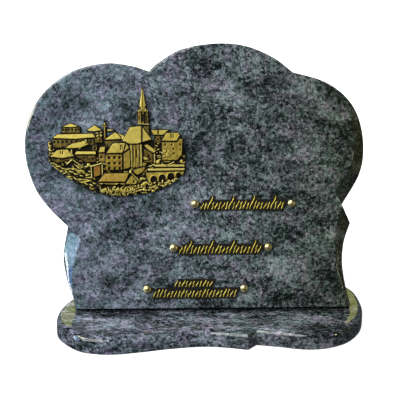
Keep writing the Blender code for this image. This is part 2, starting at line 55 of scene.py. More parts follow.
# The slab, its lean and its edges
SLAB_WIDTH = 0.400
SLAB_HEIGHT = 0.312
SLAB_THICKNESS = 0.025
SLAB_LEAN = math.radians(16.0)
SLAB_SIDE_SHIFT = -0.018
FOOT_LAND = 0.005
ARRIS = 0.0025
ARRIS_AT_NOTCH = 0.0008
BACK_ARRIS = 0.0006
EDGE_STEPS = 14               # points for each span of the outlines of slab and base
LEFT_BEVEL = (0.0095, 0.0052, 0.0072, 0.0150, 0.0175, 0.0222)
LOBE_BEVEL = (0.0025, 0.0050, 0.0080, 0.0100, 0.0130, 0.0155, 0.0196)
RIGHT_BEVEL = (0.0231, 0.0125, 0.0087, 0.0062, 0.0044, 0.0068)
BEVEL_DEPTH_SHARE = 0.62
BEVEL_SOFTNESS = 0.0012
PAINTED_SHADE_RINGS = range(2, 7)     # rings of faces on the right bevels that take a darker copy of the granite: painted shade for the dark room they face
SHOULDER_RUN = 0.0239

# The base
BASE_THICKNESS = 0.020
BASE_END_MARGIN = 0.0188
BASE_BACK_MARGIN = 0.063
SLAB_SETBACK = 0.0685
BASE_TOP_ROUND = 0.0075
BASE_FOOT_ROUND = 0.0010
MITRE_RUN = 0.012             # the inset leans this far beside the corners of the step
BASE_DEPTH = SLAB_SETBACK + SLAB_THICKNESS * math.cos(SLAB_LEAN) + BASE_BACK_MARGIN

# The relief
RELIEF_WIDTH = 0.1605
RELIEF_HEIGHT = 0.1285
RELIEF_MIDDLE_ACROSS = -0.231
RELIEF_FOOT_UP = 0.430
RELIEF_GRID = 0.00045
CAST_GRAIN = 0.07             # millimetres of fine unevenness
RIM_PATINA = 0.6

# Bars and screws
BAR_THICKNESS = 0.0016
BAR_STRIP_HEIGHT = 0.0130
LUG_DIAMETER = 0.0086
LUG_THICKNESS = 0.0012
ROUND_ENOUGH = 0.000001       # keeps a lug's round corners from meeting in one point
SCREW_DIAMETER = 0.0096
SCREW_RISE = 0.0036
SCREW_RIM = 0.0006
SCREW_EDGE = 0.0002
SCREW_INSET = 0.00002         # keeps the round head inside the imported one's box
SCREW_SIDES = 56
BAR_END_CLEARANCE = 0.0006
STROKE_PITCH = 0.0041
STROKE_SLANT = math.radians(22)
STROKE_RISE = 0.0009
STROKE_MARGIN = 0.0015
STROKE_WIDTHS = (0.00130, 0.00165, 0.00165)
STROKE_HEIGHTS = (0.76, 0.88, 0.82, 1.00)
STROKE_SUNK = 0.0005          # the strokes start this far inside the strip
TALL_BACKING = 0.0021         # half width of the plate behind a tall stroke
TALL_EVERY = 6
END_LEAN = math.tan(STROKE_SLANT) * BAR_STRIP_HEIGHT
CORNER_CUT = 0.0011
PLATE_CHAMFER = 0.0002
NECK_REACH = 0.0030           # how far a lug's neck runs into the strip
NECK_CORNER = 0.0004
NECK_HALF = 0.6               # of the lug's radius
NECK_TOP = 0.6                # of which this share stands over the middle
TALL_REACH = 1.5              # of the height between a row's margins
TALL_END_CUT = 0.0016         # what the ends of the plate behind a tall stroke lean less
STROKE_LIFT = 0.0008          # tall backings and the upper row start this far up
UPPER_ROW = (0.25, 0.73)      # where the plate of a second row starts and ends along the strip
UPPER_HEIGHT = 0.8            # of the strip's height
UPPER_LAP = 0.003             # how far that plate runs down into the strip
# Name, both screws across, height, drop of the strip in its own heights, rows of strokes
BARS = (
    ("top", -0.002, 0.283, 0.397, 0.115, 1),
    ("middle", -0.066, 0.214, 0.231, 0.154, 1),
    ("bottom", -0.145, 0.142, 0.0740, 0.385, 2),
)

# Outline of the slab in shares of its width, from its middle, and of its height
LEFT_BODY = ((-0.361, 0.000), (-0.365, 0.038), (-0.383, 0.109),
             (-0.394, 0.186), (-0.390, 0.244), (-0.3795, 0.317))
LEFT_LOBE = ((-0.3795, 0.317), (-0.4295, 0.3815), (-0.471, 0.457), (-0.497, 0.563),
             (-0.4975, 0.670), (-0.469, 0.773), (-0.420, 0.847), (-0.349, 0.903),
             (-0.261, 0.928), (-0.187, 0.918), (-0.135, 0.897))
TOP_LOBE = ((-0.135, 0.897), (-0.101, 0.934), (-0.038, 0.9785), (0.059, 1.000),
            (0.149, 0.990), (0.230, 0.947), (0.288, 0.891))
RIGHT_LOBE = ((0.288, 0.891), (0.377, 0.858), (0.443, 0.801), (0.4835, 0.721),
              (0.500, 0.609), (0.488, 0.503), (0.4355, 0.383))
RIGHT_BODY = ((0.443, 0.250), (0.436, 0.179), (0.4395, 0.122), (0.448, 0.064), (0.462, 0.000))
SHOULDER_DIRECTION = np.array((0.462, -0.887)) / math.hypot(0.462, 0.887)

# Outline of the base in shares of its width and depth, both from the middle
BASE_RIGHT_RUN = ((0.139, -0.366), (0.199, -0.3975), (0.272, -0.4405), (0.322, -0.4485),
                  (0.375, -0.419), (0.430, -0.3365), (0.473, -0.190), (0.495, -0.020),
                  (0.4985, 0.150), (0.487, 0.335), (0.448, 0.466), (0.368, 0.500),
                  (0.290, 0.500))
BASE_LEFT_RUN = ((-0.230, 0.500), (-0.310, 0.498), (-0.396, 0.430), (-0.460, 0.241),
                 (-0.491, 0.080), (-0.500, -0.085), (-0.486, -0.250), (-0.428, -0.424),
                 (-0.376, -0.480), (-0.314, -0.496), (-0.2265, -0.4645), (-0.128, -0.4135),
                 (-0.027, -0.386), (0.048, -0.4085), (0.1105, -0.443))

# Outline of the relief below its skyline, in shares of its width and height
RELIEF_FOOT = ((-0.497, 0.500), (-0.495, 0.344), (-0.453, 0.266), (-0.369, 0.183),
               (-0.285, 0.109), (-0.186, 0.047), (-0.051, 0.006), (0.047, 0.000),
               (0.175, 0.016), (0.303, 0.047), (0.410, 0.121), (0.485, 0.193),
               (0.500, 0.256), (0.498, 0.371), (0.480, 0.500))
RELIEF_SKYLINE = 0.0642

BASE_WIDTH = (RIGHT_BODY[-1][0] - LEFT_BODY[0][0]) * SLAB_WIDTH + 2 * BASE_END_MARGIN

# Faces of the houses, from the far ones to the near ones: kind, height at the top edge and at
# the foot, warmth of the gilding, corners. All in millimetres from the middle of the relief's foot.
# Shaded walls are darker than the others: painted shade.
FACES = (
    # Far row on the left
    ("shaded_wall", 3.4, 3.5, 0.50, ((-64.4, 82), (-41.6, 82), (-41.8, 73.5), (-64.2, 73.5))),
    ("roof", 3.0, 4.3, 0.10, ((-65.6, 81), (-53.1, 86.3), (-41.4, 81.4), (-52, 80))),
    ("shaded_wall", 3.8, 3.9, 0.50, ((-75, 67.4), (-23.4, 67.4), (-23.4, 58.8), (-75, 55.9))),
    ("shaded_wall", 3.4, 3.5, 0.55, ((-26.4, 77.6), (-15.8, 77.6), (-15.8, 61.7), (-26.4, 61.7))),
    ("roof", 3.1, 4.5, 0.10, ((-36.7, 76.3), (-25.2, 84.3), (-14.6, 76.7), (-26.4, 75))),
    ("roof", 3.2, 4.8, 0.15, ((-76, 67.6), (-69.7, 73.5), (-27, 74.2), (-22.6, 68.3),
                              (-48.6, 66.4))),
    ("roof", 2.9, 3.8, 0.20, ((-11.4, 76.7), (-10.5, 79), (-4.7, 79), (0, 76.7), (-10, 75))),
    ("wall", 3.5, 3.6, 0.40, ((-15.6, 82), (-11.8, 82), (-11.8, 66.4), (-15, 66.4))),
    ("roof", 3.0, 4.2, 0.10, ((-16.3, 82.4), (-13.7, 89.4), (-11, 82.4))),
    ("trim", 4.2, 4.3, 0.10, ((-17, 82.6), (-10.5, 82.6), (-11, 81), (-16.3, 81))),
    ("shaded_wall", 3.9, 4.0, 0.60, ((-15.2, 65.5), (7.6, 65.8), (7.6, 57), (-12.3, 56))),
    ("roof", 3.3, 4.6, 0.00, ((-1, 76), (10.2, 71), (8.8, 65), (5.5, 66))),
    ("roof", 3.3, 5.0, 0.10, ((-16.8, 65), (-1, 76), (6.4, 68.8), (5.5, 66))),
    # Middle row on the left
    ("roof", 4.0, 5.2, 0.15, ((-61.3, 56.8), (-52, 62.6), (-36.7, 66.2), (-30.3, 60.8),
                              (-42.2, 56), (-56, 55.4))),
    ("trim", 5.3, 5.3, 0.20, ((-37, 66.9), (-34.3, 66.9), (-34, 61.7), (-36.7, 61.7))),
    ("shaded_wall", 4.2, 4.2, 0.50, ((-28.7, 60.6), (-21.7, 61.7), (-21.7, 52.4), (-28.7, 52.4))),
    ("shaded_wall", 4.6, 4.6, 0.70, ((-48, 48.6), (-23.4, 48.6), (-23.4, 39), (-35.7, 39), (-48, 46))),
    ("roof", 4.3, 5.6, 0.20, ((-50, 48.4), (-47.2, 53.5), (-23.8, 53.5), (-23, 48.4))),
    ("shaded_wall", 4.4, 4.4, 0.60, ((-76.7, 46.5), (-48.6, 47), (-48.6, 43), (-69.7, 38.3),
                              (-76, 41.8))),
    ("roof", 4.2, 5.7, 0.25, ((-79, 46), (-69.7, 55), (-57, 56), (-47.7, 47), (-63.3, 44))),
    ("trim", 5.8, 5.8, 0.30, ((-53.3, 55), (-51.2, 55), (-51.2, 49), (-53.3, 50))),
    ("wall", 4.6, 4.7, 0.60, ((-21.4, 50.6), (-12.3, 50.6), (-12.3, 39.5), (-21.4, 39.5))),
    ("roof", 4.2, 5.3, 0.20, ((-22, 50.6), (-19, 58.5), (-12, 58.7), (-13.5, 50.6))),
    # Church
    ("shaded_wall", 4.4, 4.5, 0.45, ((31.3, 83.4), (39, 83.4), (39.5, 66.4), (31.3, 66.4))),
    ("shaded_wall", 5.3, 5.4, 0.50, ((33.2, 99), (38, 99), (38.7, 84), (33.2, 83.4))),
    ("wall", 5.6, 5.7, 0.65, ((24.6, 99), (30, 99), (30, 83.8), (24.8, 84.5))),
    ("wall", 6.1, 6.2, 0.60, ((29.6, 99), (33.4, 99), (33.4, 83.4), (29.6, 83.4))),
    ("trim", 6.4, 6.4, 0.10, ((24.6, 85.4), (39, 84.7), (39, 82.6), (24.6, 83.8))),
    # The right face of the spire is warmer and so darker gold than the left: painted shade.
    ("spire", 3.2, 5.7, 0.35, ((30.6, 128), (31.3, 128), (35.7, 99.7), (31.3, 99))),
    ("spire", 3.2, 6.0, 0.10, ((26.6, 99), (30.4, 128), (31, 128), (31.3, 99))),
    ("roof", 5.9, 6.4, 0.05, ((26, 99), (28, 105.3), (30.6, 99))),
    ("roof", 5.6, 6.2, 0.05, ((32.2, 99), (34, 106), (36.9, 99))),
    ("trim", 6.5, 6.5, 0.20, ((25, 100.2), (37.6, 100.2), (37.4, 98.3), (25.2, 98.3))),
    ("shaded_wall", 3.6, 3.7, 0.50, ((43.7, 71), (56, 71), (55, 60.6), (43.7, 60.6))),
    ("roof", 3.2, 4.4, 0.20, ((40, 76.7), (41.4, 78), (64.5, 78), (59.2, 74.6), (55.6, 70.6),
                              (43, 70.6))),
    ("trim", 4.6, 4.7, 0.40, ((47, 76.7), (49.6, 76.7), (49.6, 72.5), (47, 72.5))),
    ("wall", 4.7, 4.8, 0.45, ((52.4, 63.8), (71, 63.6), (73.5, 67.6), (78.6, 67), (77.2, 47.4),
                              (71, 40.7), (52.4, 40.7))),
    ("roof", 4.2, 5.7, 0.30, ((51.7, 63.8), (58, 74.4), (72.8, 74.6), (75.3, 71), (71, 63.4))),
    ("wall", 4.9, 5.0, 0.55, ((14.4, 61.7), (30, 61.7), (30, 33), (18.7, 32), (14.4, 33.6))),
    ("trim", 5.7, 5.7, 0.20, ((16, 60.6), (19, 60.6), (19, 34.6), (17, 32.5))),
    ("trim", 5.9, 5.9, 0.50, ((20, 60), (22, 60), (22, 33.6), (20.3, 33.2))),
    ("trim", 5.9, 5.9, 0.50, ((24.7, 60.6), (26.6, 60.6), (26.6, 33.6), (25, 33.6))),
    ("trim", 5.7, 5.7, 0.15, ((27.5, 60.6), (30, 60.6), (30.3, 35), (28, 33.6))),
    ("shaded_wall", 4.6, 4.7, 0.60, ((31.3, 56), (37, 54.7), (43.7, 49.4), (43.7, 38.3), (31.3, 38.3))),
    ("roof", 4.6, 5.6, 0.15, ((30.8, 60.3), (36.7, 61), (48.4, 52.8), (43.7, 49.3), (35.7, 54))),
    ("roof", 5.0, 5.6, 0.20, ((30.8, 46.5), (34, 46.7), (41, 42.8), (33.4, 41), (30.8, 42.3))),
    ("trim", 5.4, 5.4, 0.30, ((43.5, 49), (45.6, 50.3), (45.6, 38.3), (43.5, 37.7))),
    ("roof", 4.0, 6.2, 0.22, ((30, 82.8), (42.5, 65.7), (30, 62.2))),
    ("roof", 4.0, 6.6, 0.12, ((6, 64.3), (15.3, 81.2), (30, 82.8), (30, 62.2), (25.2, 60.6),
                              (15.8, 60.3))),
    # Tall house in the middle
    ("wall", 5.3, 5.2, 0.50, ((7.4, 49.8), (16.3, 56), (17.2, 32.7), (7.4, 30.3))),
    ("wall", 5.4, 5.5, 0.58, ((-13.7, 49.8), (7.4, 49.8), (7.4, 30.3), (-12.3, 29.2),
                              (-14, 31.3))),
    ("roof", 4.7, 6.2, 0.35, ((11.8, 63), (16, 56.3), (7.4, 49.8))),
    ("roof", 4.7, 6.4, 0.25, ((-12.8, 49.6), (-5.3, 61.7), (-1.8, 63), (11.8, 63), (7.4, 49.8))),
    # Gate, shed, yard and quay
    ("wall", 5.2, 5.3, 0.86, ((-27.8, 35.3), (-18, 37.4), (-18, 24.3), (-27.3, 21.2))),
    ("trim", 5.8, 5.8, 0.30, ((-30.6, 34), (-28.7, 34.6), (-28.2, 21.3), (-30, 20.7))),
    ("trim", 5.9, 5.9, 0.30, ((-18, 37.8), (-15.6, 37.8), (-15.6, 24.3), (-17.5, 23.5))),
    ("trim", 6.2, 6.2, 0.20, ((-30.8, 35.7), (-16.5, 40), (-16.3, 37.8), (-30.6, 33.6))),
    ("trim", 6.2, 6.2, 0.20, ((-16.5, 40), (-7.4, 36.4), (-7.8, 34.6), (-16.5, 37.8))),
    ("trim", 5.2, 5.2, 0.10, ((-59.4, 38), (-52, 44.6), (-50.7, 43), (-57.8, 36.4))),
    ("trim", 5.2, 5.2, 0.10, ((-52, 44.6), (-37.6, 34), (-38.8, 32.5), (-52, 42.5))),
    ("wall", 4.9, 5.2, 0.45, ((18.7, 31.3), (34, 35.3), (34, 30.7), (30, 26.6), (24.6, 23.7),
                              (18.7, 27.2))),
    ("wall", 4.6, 4.8, 0.35, ((33.4, 28.4), (80, 29.5), (79, 24.3), (67.4, 20.5), (41.6, 14.4),
                              (37, 14), (33.4, 24.3))),
    ("trim", 5.8, 5.9, 0.10, ((42.2, 36.9), (79.8, 36.9), (79.8, 33.4), (45, 33.6))),
    ("trim", 6.1, 6.3, 0.10, ((35.5, 32.2), (80, 32.7), (80, 29.4), (37, 29))),
    ("trim", 5.9, 5.9, 0.10, ((57.8, 35.7), (67.4, 40.7), (68.5, 39.2), (59.4, 34.6))),
    # Front house
    ("wall", 6.0, 6.0, 0.35, ((10.2, 16), (17.7, 26), (25.2, 18.4), (23.5, 13), (10.2, 13))),
    ("wall", 5.9, 6.0, 0.50, ((-21.7, 16.5), (10.7, 16), (10.7, 12.3), (-21.7, 13))),
    ("roof", 5.6, 7.1, 0.60, ((-22.6, 16.5), (-14.4, 27.3), (16, 27.8), (10.4, 16))),
    ("trim", 6.8, 6.8, 0.15, ((15.8, 27.8), (17.7, 27.8), (26.6, 18.6), (25.4, 17))),
    ("trim", 6.6, 6.6, 0.15, ((15, 31), (18, 30.3), (17.7, 26), (14.6, 26.6))),
)

# Width in millimetres of the dark line inside the edge of a face, and how dull the face is: duller
# gilding and painted shade on the walls, most on the shaded walls
GROOVES = {"roof": 1.25, "wall": 1.40, "shaded_wall": 1.50, "trim": 0.50, "spire": 0.35}
DULLNESS_AND_SHADE = {"roof": 0.0, "wall": 0.12, "shaded_wall": 0.34, "trim": 0.0, "spire": 0.0}

# Windows and other openings: middle, width and height in millimetres
OPENINGS = tuple((x, y, 2.8, 3.0) for y in (45.1, 38.5, 32.4) for x in (-8.6, -2.0, 3.9)) + (
    (57.4, 60.0, 1.8, 2.2), (65.0, 60.0, 1.8, 2.2), (66.8, 55.0, 1.8, 2.2),
    (67.4, 49.4, 1.8, 2.2), (74.8, 60.0, 1.4, 2.2), (74.6, 54.0, 1.4, 2.2),
    (45.7, 67.4, 1.8, 2.2), (48.6, 66.4, 1.8, 2.2), (52.1, 67.4, 1.8, 2.2),
    (-62.1, 77.8, 1.9, 2.6), (-58.6, 77.6, 1.9, 2.6), (-55.1, 77.4, 1.9, 2.6),
    (-51.0, 77.4, 1.9, 2.6), (-46.9, 77.6, 1.9, 2.6), (-43.7, 77.8, 1.6, 2.6),
    (-72.0, 63.6, 2.2, 2.6), (-67.4, 63.6, 2.2, 2.6), (-62.7, 63.8, 2.2, 2.6),
    (-57.4, 64.0, 2.2, 2.6), (-52.1, 64.0, 2.2, 2.6), (-46.9, 64.0, 2.2, 2.6),
    (-41.0, 64.6, 2.2, 1.8), (-29.9, 64.2, 2.2, 2.6), (-25.8, 64.2, 1.8, 2.6),
    (31.5, 91.3, 2.2, 8.6), (23.3, 50.0, 1.5, 9.5), (-25.2, 56.0, 2.2, 3.0),
    (-17.6, 45.9, 2.4, 3.4), (-38.0, 44.6, 2.0, 2.4), (-27.5, 44.0, 2.0, 2.8),
    (-10.0, 57.2, 1.6, 4.6), (5.0, 57.0, 1.0, 6.4), (7.0, 57.0, 1.0, 6.4),
    (64.4, 70.2, 1.2, 4.6), (66.6, 70.2, 1.2, 4.6), (48.3, 74.4, 1.0, 2.6),
    (-65.4, 51.4, 1.1, 4.2), (-63.0, 51.4, 1.1, 4.2), (35.6, 91.0, 0.9, 6.0),
    (27.2, 91.0, 0.9, 6.0), (37.6, 46.5, 2.0, 3.4), (20.0, 17.0, 2.0, 2.6),
)

# Arches: middle, foot, width and height in millimetres
ARCHES = (
    (-14.6, 9.5, 7.0, 5.0), (2.9, 9.5, 7.0, 5.0),
    (43.6, 14.5, 7.4, 8.6), (53.4, 15.5, 7.8, 9.2), (63.6, 18.0, 7.8, 8.4), (72.6, 21.0, 5.6, 6.0),
)

# Clumps of leaves between the houses: middle and half size in millimetres
LEAVES = ((-76.0, 51.5, 3.0, 4.0), (-19.5, 71.0, 3.0, 4.0), (47.5, 56.0, 3.4, 6.0),
          (-77.5, 59.5, 1.5, 4.5), (-41.5, 58.0, 2.5, 2.5), (77.0, 36.5, 2.5, 3.5))

# Suns: name, azimuth, elevation, strength, softness in degrees, colour, whether gloss shows it
SUNS = (
    ("key", -42, 45, 3.0, 50, (1.0, 0.99, 0.965), True),
    ("overhead", 180, 74, 1.7, 34, (1.0, 0.99, 0.96), False),
    ("low_fill", -35, -12, 0.7, 60, (0.88, 0.93, 1.0), False),
)

# Cards: name, point that they face, azimuth, elevation, distance, size, radiance, colour, roll
CARDS = (
    ("sky_card", (-0.165, 0.012, 0.098), -69, 12, 0.3, (0.10, 0.09), 6.2, (0.42, 0.74, 1.0), 0),
    ("blue_card", (-0.165, 0.005, 0.075), -68, -5, 0.3, (0.09, 0.13), 4.2, (0.05, 0.26, 0.85), 0),
    ("window_slit", (-0.165, 0.004, 0.070), -73.8, -6.3, 0.3, (0.0125, 0.19), 24,
     (0.86, 0.95, 1.0), 15),
    ("lobe_card", (-0.21, 0.052, 0.244), -58, 24, 0.3, (0.24, 0.088), 19, (1.0, 1.0, 0.66), 0),
    ("back_wall", (-0.02, 0.0, 0.02), 180, 24, 1.6, (1.5, 0.5), 1.30, (0.96, 1.0, 0.24), 0),
    ("right_wall", (0.14, 0.0, 0.15), 78, 6, 0.8, (0.7, 0.7), 0.16, (1.0, 0.92, 0.15), 0),
    ("edge_glint", (0.145, -0.070, 0.015), 59, 16, 0.8, (0.032, 0.10), 36, (1.0, 0.97, 0.60), 0),
)
FLOOR_REACH = 22.0
FLOOR_DROP = 0.0002           # the floor lies this far under the base

# Camera, in the object's frame
CAMERA_PLACE = (-0.0395, -1.1955, 0.5940)
CAMERA_AIM = (-0.01285, 0.02577, 0.14938)
CAMERA_LENS = 99.15


def slab_matrix():
    """From the slab's own frame, X right, Y up its face and Z out of it, to the object's."""
    rise = (SLAB_THICKNESS - FOOT_LAND) * math.sin(SLAB_LEAN)
    place = (SLAB_SIDE_SHIFT, SLAB_SETBACK - BASE_DEPTH / 2, BASE_THICKNESS + TOUCH_GAP + rise)
    return Matrix.Translation(place) @ Matrix.Rotation(math.pi / 2 - SLAB_LEAN, 4, "X")


SLAB = slab_matrix()
ORNAMENTS = SLAB @ Matrix.Translation((0, 0, TOUCH_GAP))
RELIEF = ORNAMENTS @ Matrix.Translation((RELIEF_MIDDLE_ACROSS * SLAB_WIDTH,
                                         RELIEF_FOOT_UP * SLAB_HEIGHT, 0))


def placed(points, matrix):
    """Points moved by a matrix."""
    turn = np.array(matrix.to_3x3())
    return np.asarray(points, float) @ turn.T + np.array(matrix.translation)


def keep_inside(mesh, node):
    """Moves onto a node's box what a mesh has outside it."""
    points = np.zeros(len(mesh.vertices) * 3)
    mesh.vertices.foreach_get("co", points)
    low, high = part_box(node)
    points = np.clip(points.reshape(-1, 3), np.array(low), np.array(high))
    mesh.vertices.foreach_set("co", points.ravel())


def add_stand_in(name, mesh, node):
    """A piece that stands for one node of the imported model."""
    item = bpy.data.objects.new(name, mesh)
    bpy.context.scene.collection.objects.link(item)
    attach(item, "root")
    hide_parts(node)
    return item


def add_piece(name, points, faces, material, node, flat_faces=(), sharp_degrees=24.0):
    """A smooth stand-in whose edges are sharp where its faces meet at more than an angle."""
    mesh = bpy.data.meshes.new(name)
    mesh.from_pydata(points.tolist(), [], faces)
    keep_inside(mesh, node)
    mesh.materials.append(material)
    form = bmesh.new()
    form.from_mesh(mesh)
    bmesh.ops.recalc_face_normals(form, faces=form.faces)
    for index, face in enumerate(form.faces):
        face.smooth = index not in flat_faces
    limit = math.radians(sharp_degrees)
    for edge in form.edges:
        if len(edge.link_faces) == 2 and edge.calc_face_angle(0.0) > limit:
            edge.smooth = False
    form.to_mesh(mesh)
    form.free()
    return add_stand_in(name, mesh, node)


def smooth_run(knots, steps):
    """Points of a smooth curve through the knots, with the same steps in each span."""
    knots = np.array(knots, float)
    chain = np.vstack([2 * knots[:1] - knots[1:2], knots, 2 * knots[-1:] - knots[-2:-1]])
    t = (np.arange(steps) / steps)[:, None]
    points = []
    for span in range(len(knots) - 1):
        a, b, c, d = chain[span:span + 4]
        points.append(0.5 * (2 * b + (c - a) * t + (2 * a - 5 * b + 4 * c - d) * t ** 2
                             + (3 * b - a - 3 * c + d) * t ** 3))
    return np.vstack(points + [knots[-1:]])


def smooth_values(values):
    return smooth_run([(value, 0.0) for value in values], EDGE_STEPS)[:, 0]


def unit(vectors):
    return vectors / np.linalg.norm(vectors, axis=-1, keepdims=True)


def right_normals(points):
    """Unit normals on the right of a run of points."""
    ahead = np.vstack([points[1:], points[-1:]])
    behind = np.vstack([points[:1], points[:-1]])
    along = unit(ahead - behind)
    return np.stack([along[:, 1], -along[:, 0]], axis=1)


def bezier(start, control, end, count):
    t = np.linspace(0, 1, count)[:, None]
    start, control, end = (np.array(point, float) for point in (start, control, end))
    return start * (1 - t) ** 2 + 2 * control * t * (1 - t) + end * t ** 2


def bevel_profile(width):
    """Offsets inward and depths across a flat bevel with softened corners, ten points."""
    depth = width * BEVEL_DEPTH_SHARE
    length = math.hypot(width, depth)
    soft = min(BEVEL_SOFTNESS, 0.3 * length)
    along = np.array((-width, depth)) / length * soft
    face_corner = np.array((width, 0.0))
    wall_corner = np.array((0.0, depth))
    return np.vstack([
        bezier((width + soft, 0.0), face_corner, face_corner + along, 5),
        bezier(wall_corner - along, wall_corner, (0.0, depth + soft), 5)])


def arris_profile(radius):
    """The same for a small rounded arris."""
    turn = np.linspace(0, math.pi / 2, 10)
    return np.stack([radius * (1 - np.sin(turn)), radius * (1 - np.cos(turn))], axis=1)


def column(point, direction, profile):
    """The points of a profile set off from an outline point."""
    return np.hstack([point + direction * profile[:, :1], -profile[:, 1:]])


def bevel_columns(outer, widths, end_directions, blend_start, blend_end):
    """Columns of a bevel. Over a share of the run at each end they turn to a given direction."""
    columns = []
    share = np.linspace(0, 1, len(outer))
    for index, direction in enumerate(right_normals(outer)):
        if blend_start and share[index] < blend_start:
            mix = (1 - share[index] / blend_start) ** 2
            direction = direction * (1 - mix) + end_directions[0] * mix
        if blend_end and share[index] > 1 - blend_end:
            mix = (1 - (1 - share[index]) / blend_end) ** 2
            direction = direction * (1 - mix) + end_directions[1] * mix
        columns.append(column(outer[index], unit(direction), bevel_profile(widths[index])))
    return columns


def arris_columns(outer, radii):
    return [column(point, normal, arris_profile(radius))
            for point, normal, radius in zip(outer, right_normals(outer), radii)]


def slab_run(knots):
    return smooth_run(knots, EDGE_STEPS) * (SLAB_WIDTH, SLAB_HEIGHT)


def slab_columns():
    """Columns of the slab's edge, clockwise from the lower left corner, and the index of the
    first one on the right lobe."""
    left_edge = slab_run(LEFT_LOBE)
    straight = unit(left_edge[0] - left_edge[2])
    body = slab_run(LEFT_BODY)
    widths = smooth_values(LEFT_BEVEL)
    columns = bevel_columns(body, widths, (None, straight), 0, 0.3)
    level = np.array((1.0, 0.0))
    columns[0] = column(body[0], level, bevel_profile(widths[0]))
    left_edge[0] = left_edge[0] + (left_edge[1] - left_edge[0]) * 0.3
    share = np.linspace(0, 1, len(left_edge))
    fading = ARRIS_AT_NOTCH + (ARRIS - ARRIS_AT_NOTCH) * np.minimum(1.0, share * 6)
    columns += arris_columns(left_edge, fading)
    top = slab_run(TOP_LOBE)
    columns += arris_columns(top, np.full(len(top), ARRIS))[1:]
    lobe_start = len(columns)
    lobe = slab_run(RIGHT_LOBE)
    back_up = -SHOULDER_DIRECTION
    columns += bevel_columns(lobe, smooth_values(LOBE_BEVEL), (None, back_up), 0, 0.3)[1:]
    corner = lobe[-1] + SHOULDER_DIRECTION * SHOULDER_RUN
    body = slab_run((tuple(corner / (SLAB_WIDTH, SLAB_HEIGHT)),) + RIGHT_BODY)
    widths = smooth_values(RIGHT_BEVEL)
    side = bevel_columns(body, widths, (back_up, None), 0.3, 0)
    side[-1] = column(body[-1], -level, bevel_profile(widths[-1]))
    return columns + side, lobe_start


def build_slab(material, painted_shade_material):
    columns, lobe_start = slab_columns()
    grid = np.array(columns)
    outer = grid[:, -1, :2]
    count = len(grid)
    inward = right_normals(outer)
    inward[0] = (1.0, 0.0)
    inward[-1] = (-1.0, 0.0)
    foot = np.hstack([outer, np.full((count, 1), FOOT_LAND - SLAB_THICKNESS)])
    back_edge = np.hstack([outer, np.full((count, 1), BACK_ARRIS - SLAB_THICKNESS)])
    back = np.hstack([outer + inward * BACK_ARRIS, np.full((count, 1), -SLAB_THICKNESS)])
    lean = math.tan(SLAB_LEAN)
    for end in (0, -1):
        back_edge[end, 1] = (FOOT_LAND - BACK_ARRIS) * lean
        back[end, 1] = FOOT_LAND * lean
    rings = [grid[:, level] for level in range(grid.shape[1])] + [foot, back_edge, back]
    faces = ring_faces(len(rings), count)
    slab = add_piece("granite_slab", placed(np.vstack(rings), SLAB), faces, material, "slab",
                     flat_faces=(len(faces) - 2, len(faces) - 1))
    # The right bevels take the second material, a darker copy of the granite: painted shade.
    slab.data.materials.append(painted_shade_material)
    for ring in PAINTED_SHADE_RINGS:
        for index in range(lobe_start, count - 1):
            slab.data.polygons[ring * count + index].material_index = 1
    return slab


def band_faces(rings, count):
    """Quads between rings of points that follow one another."""
    return [(ring * count + index, ring * count + (index + 1) % count,
             (ring + 1) * count + (index + 1) % count, (ring + 1) * count + index)
            for ring in range(rings - 1) for index in range(count)]


def ring_faces(rings, count):
    """The same, with a face on the first ring and one on the last."""
    return band_faces(rings, count) + [tuple(range(count)),
                                       tuple(range((rings - 1) * count, rings * count))]


def base_outline():
    """Points of the base's outline with the inward offset of each for one metre of inset.

    Beside the two corners of the step the offsets lean along the edge, so that they meet the
    corner's mitre without crossing.
    """
    right = smooth_run(BASE_RIGHT_RUN, EDGE_STEPS) * (BASE_WIDTH, BASE_DEPTH)
    left = smooth_run(BASE_LEFT_RUN, EDGE_STEPS) * (BASE_WIDTH, BASE_DEPTH)
    step_face = unit(right[0] - left[-1])
    step_normal = np.array((-step_face[1], step_face[0]))
    offsets = []
    for run, corner, way in ((right, 0, 1), (left, -1, -1)):
        normals = -right_normals(run)
        tangents = np.stack([normals[:, 1], -normals[:, 0]], axis=1)
        normals[-1 - corner] = (0.0, -1.0)
        lengths = np.linalg.norm(np.diff(run, axis=0), axis=1)[::way]
        away = np.concatenate([[0], np.cumsum(lengths)])[::way]
        mitre = (normals[corner] + step_normal) / (1 + normals[corner] @ step_normal)
        fade = np.clip(1 - away / MITRE_RUN, 0, 1)[:, None]
        offsets.append(normals + tangents * (mitre @ tangents[corner]) * fade)
    return np.vstack([right, left]), np.vstack(offsets)


def build_base(material):
    outline, inward = base_outline()
    rings = []
    for turn in np.linspace(0, math.pi / 2, 4):
        rings.append((BASE_FOOT_ROUND * (1 - math.sin(turn)), BASE_FOOT_ROUND * (1 - math.cos(turn))))
    for turn in np.linspace(0, math.pi / 2, 10):
        rings.append((BASE_TOP_ROUND * (1 - math.cos(turn)),
                      BASE_THICKNESS - BASE_TOP_ROUND * (1 - math.sin(turn))))
    points = [np.hstack([outline + inward * inset, np.full((len(outline), 1), height)])
              for inset, height in rings]
    faces = ring_faces(len(rings), len(outline))
    return add_piece("granite_base", np.vstack(points), faces, material, "base",
                     flat_faces=(len(faces) - 2, len(faces) - 1))


def polygon_depth(x, y, corners):
    """Distance inside a polygon's edge, negative outside it."""
    inside = np.zeros(x.shape, bool)
    nearest = np.full(x.shape, 1e9)
    for (ax, ay), (bx, by) in zip(corners, corners[1:] + corners[:1]):
        dx, dy = bx - ax, by - ay
        t = np.clip(((x - ax) * dx + (y - ay) * dy) / (dx * dx + dy * dy), 0, 1)
        nearest = np.minimum(nearest, np.hypot(x - ax - dx * t, y - ay - dy * t))
        if ay != by:
            crosses = ((y >= min(ay, by)) & (y < max(ay, by))
                       & (x < ax + (y - ay) * dx / dy))
            inside ^= crosses
    return np.where(inside, nearest, -nearest)


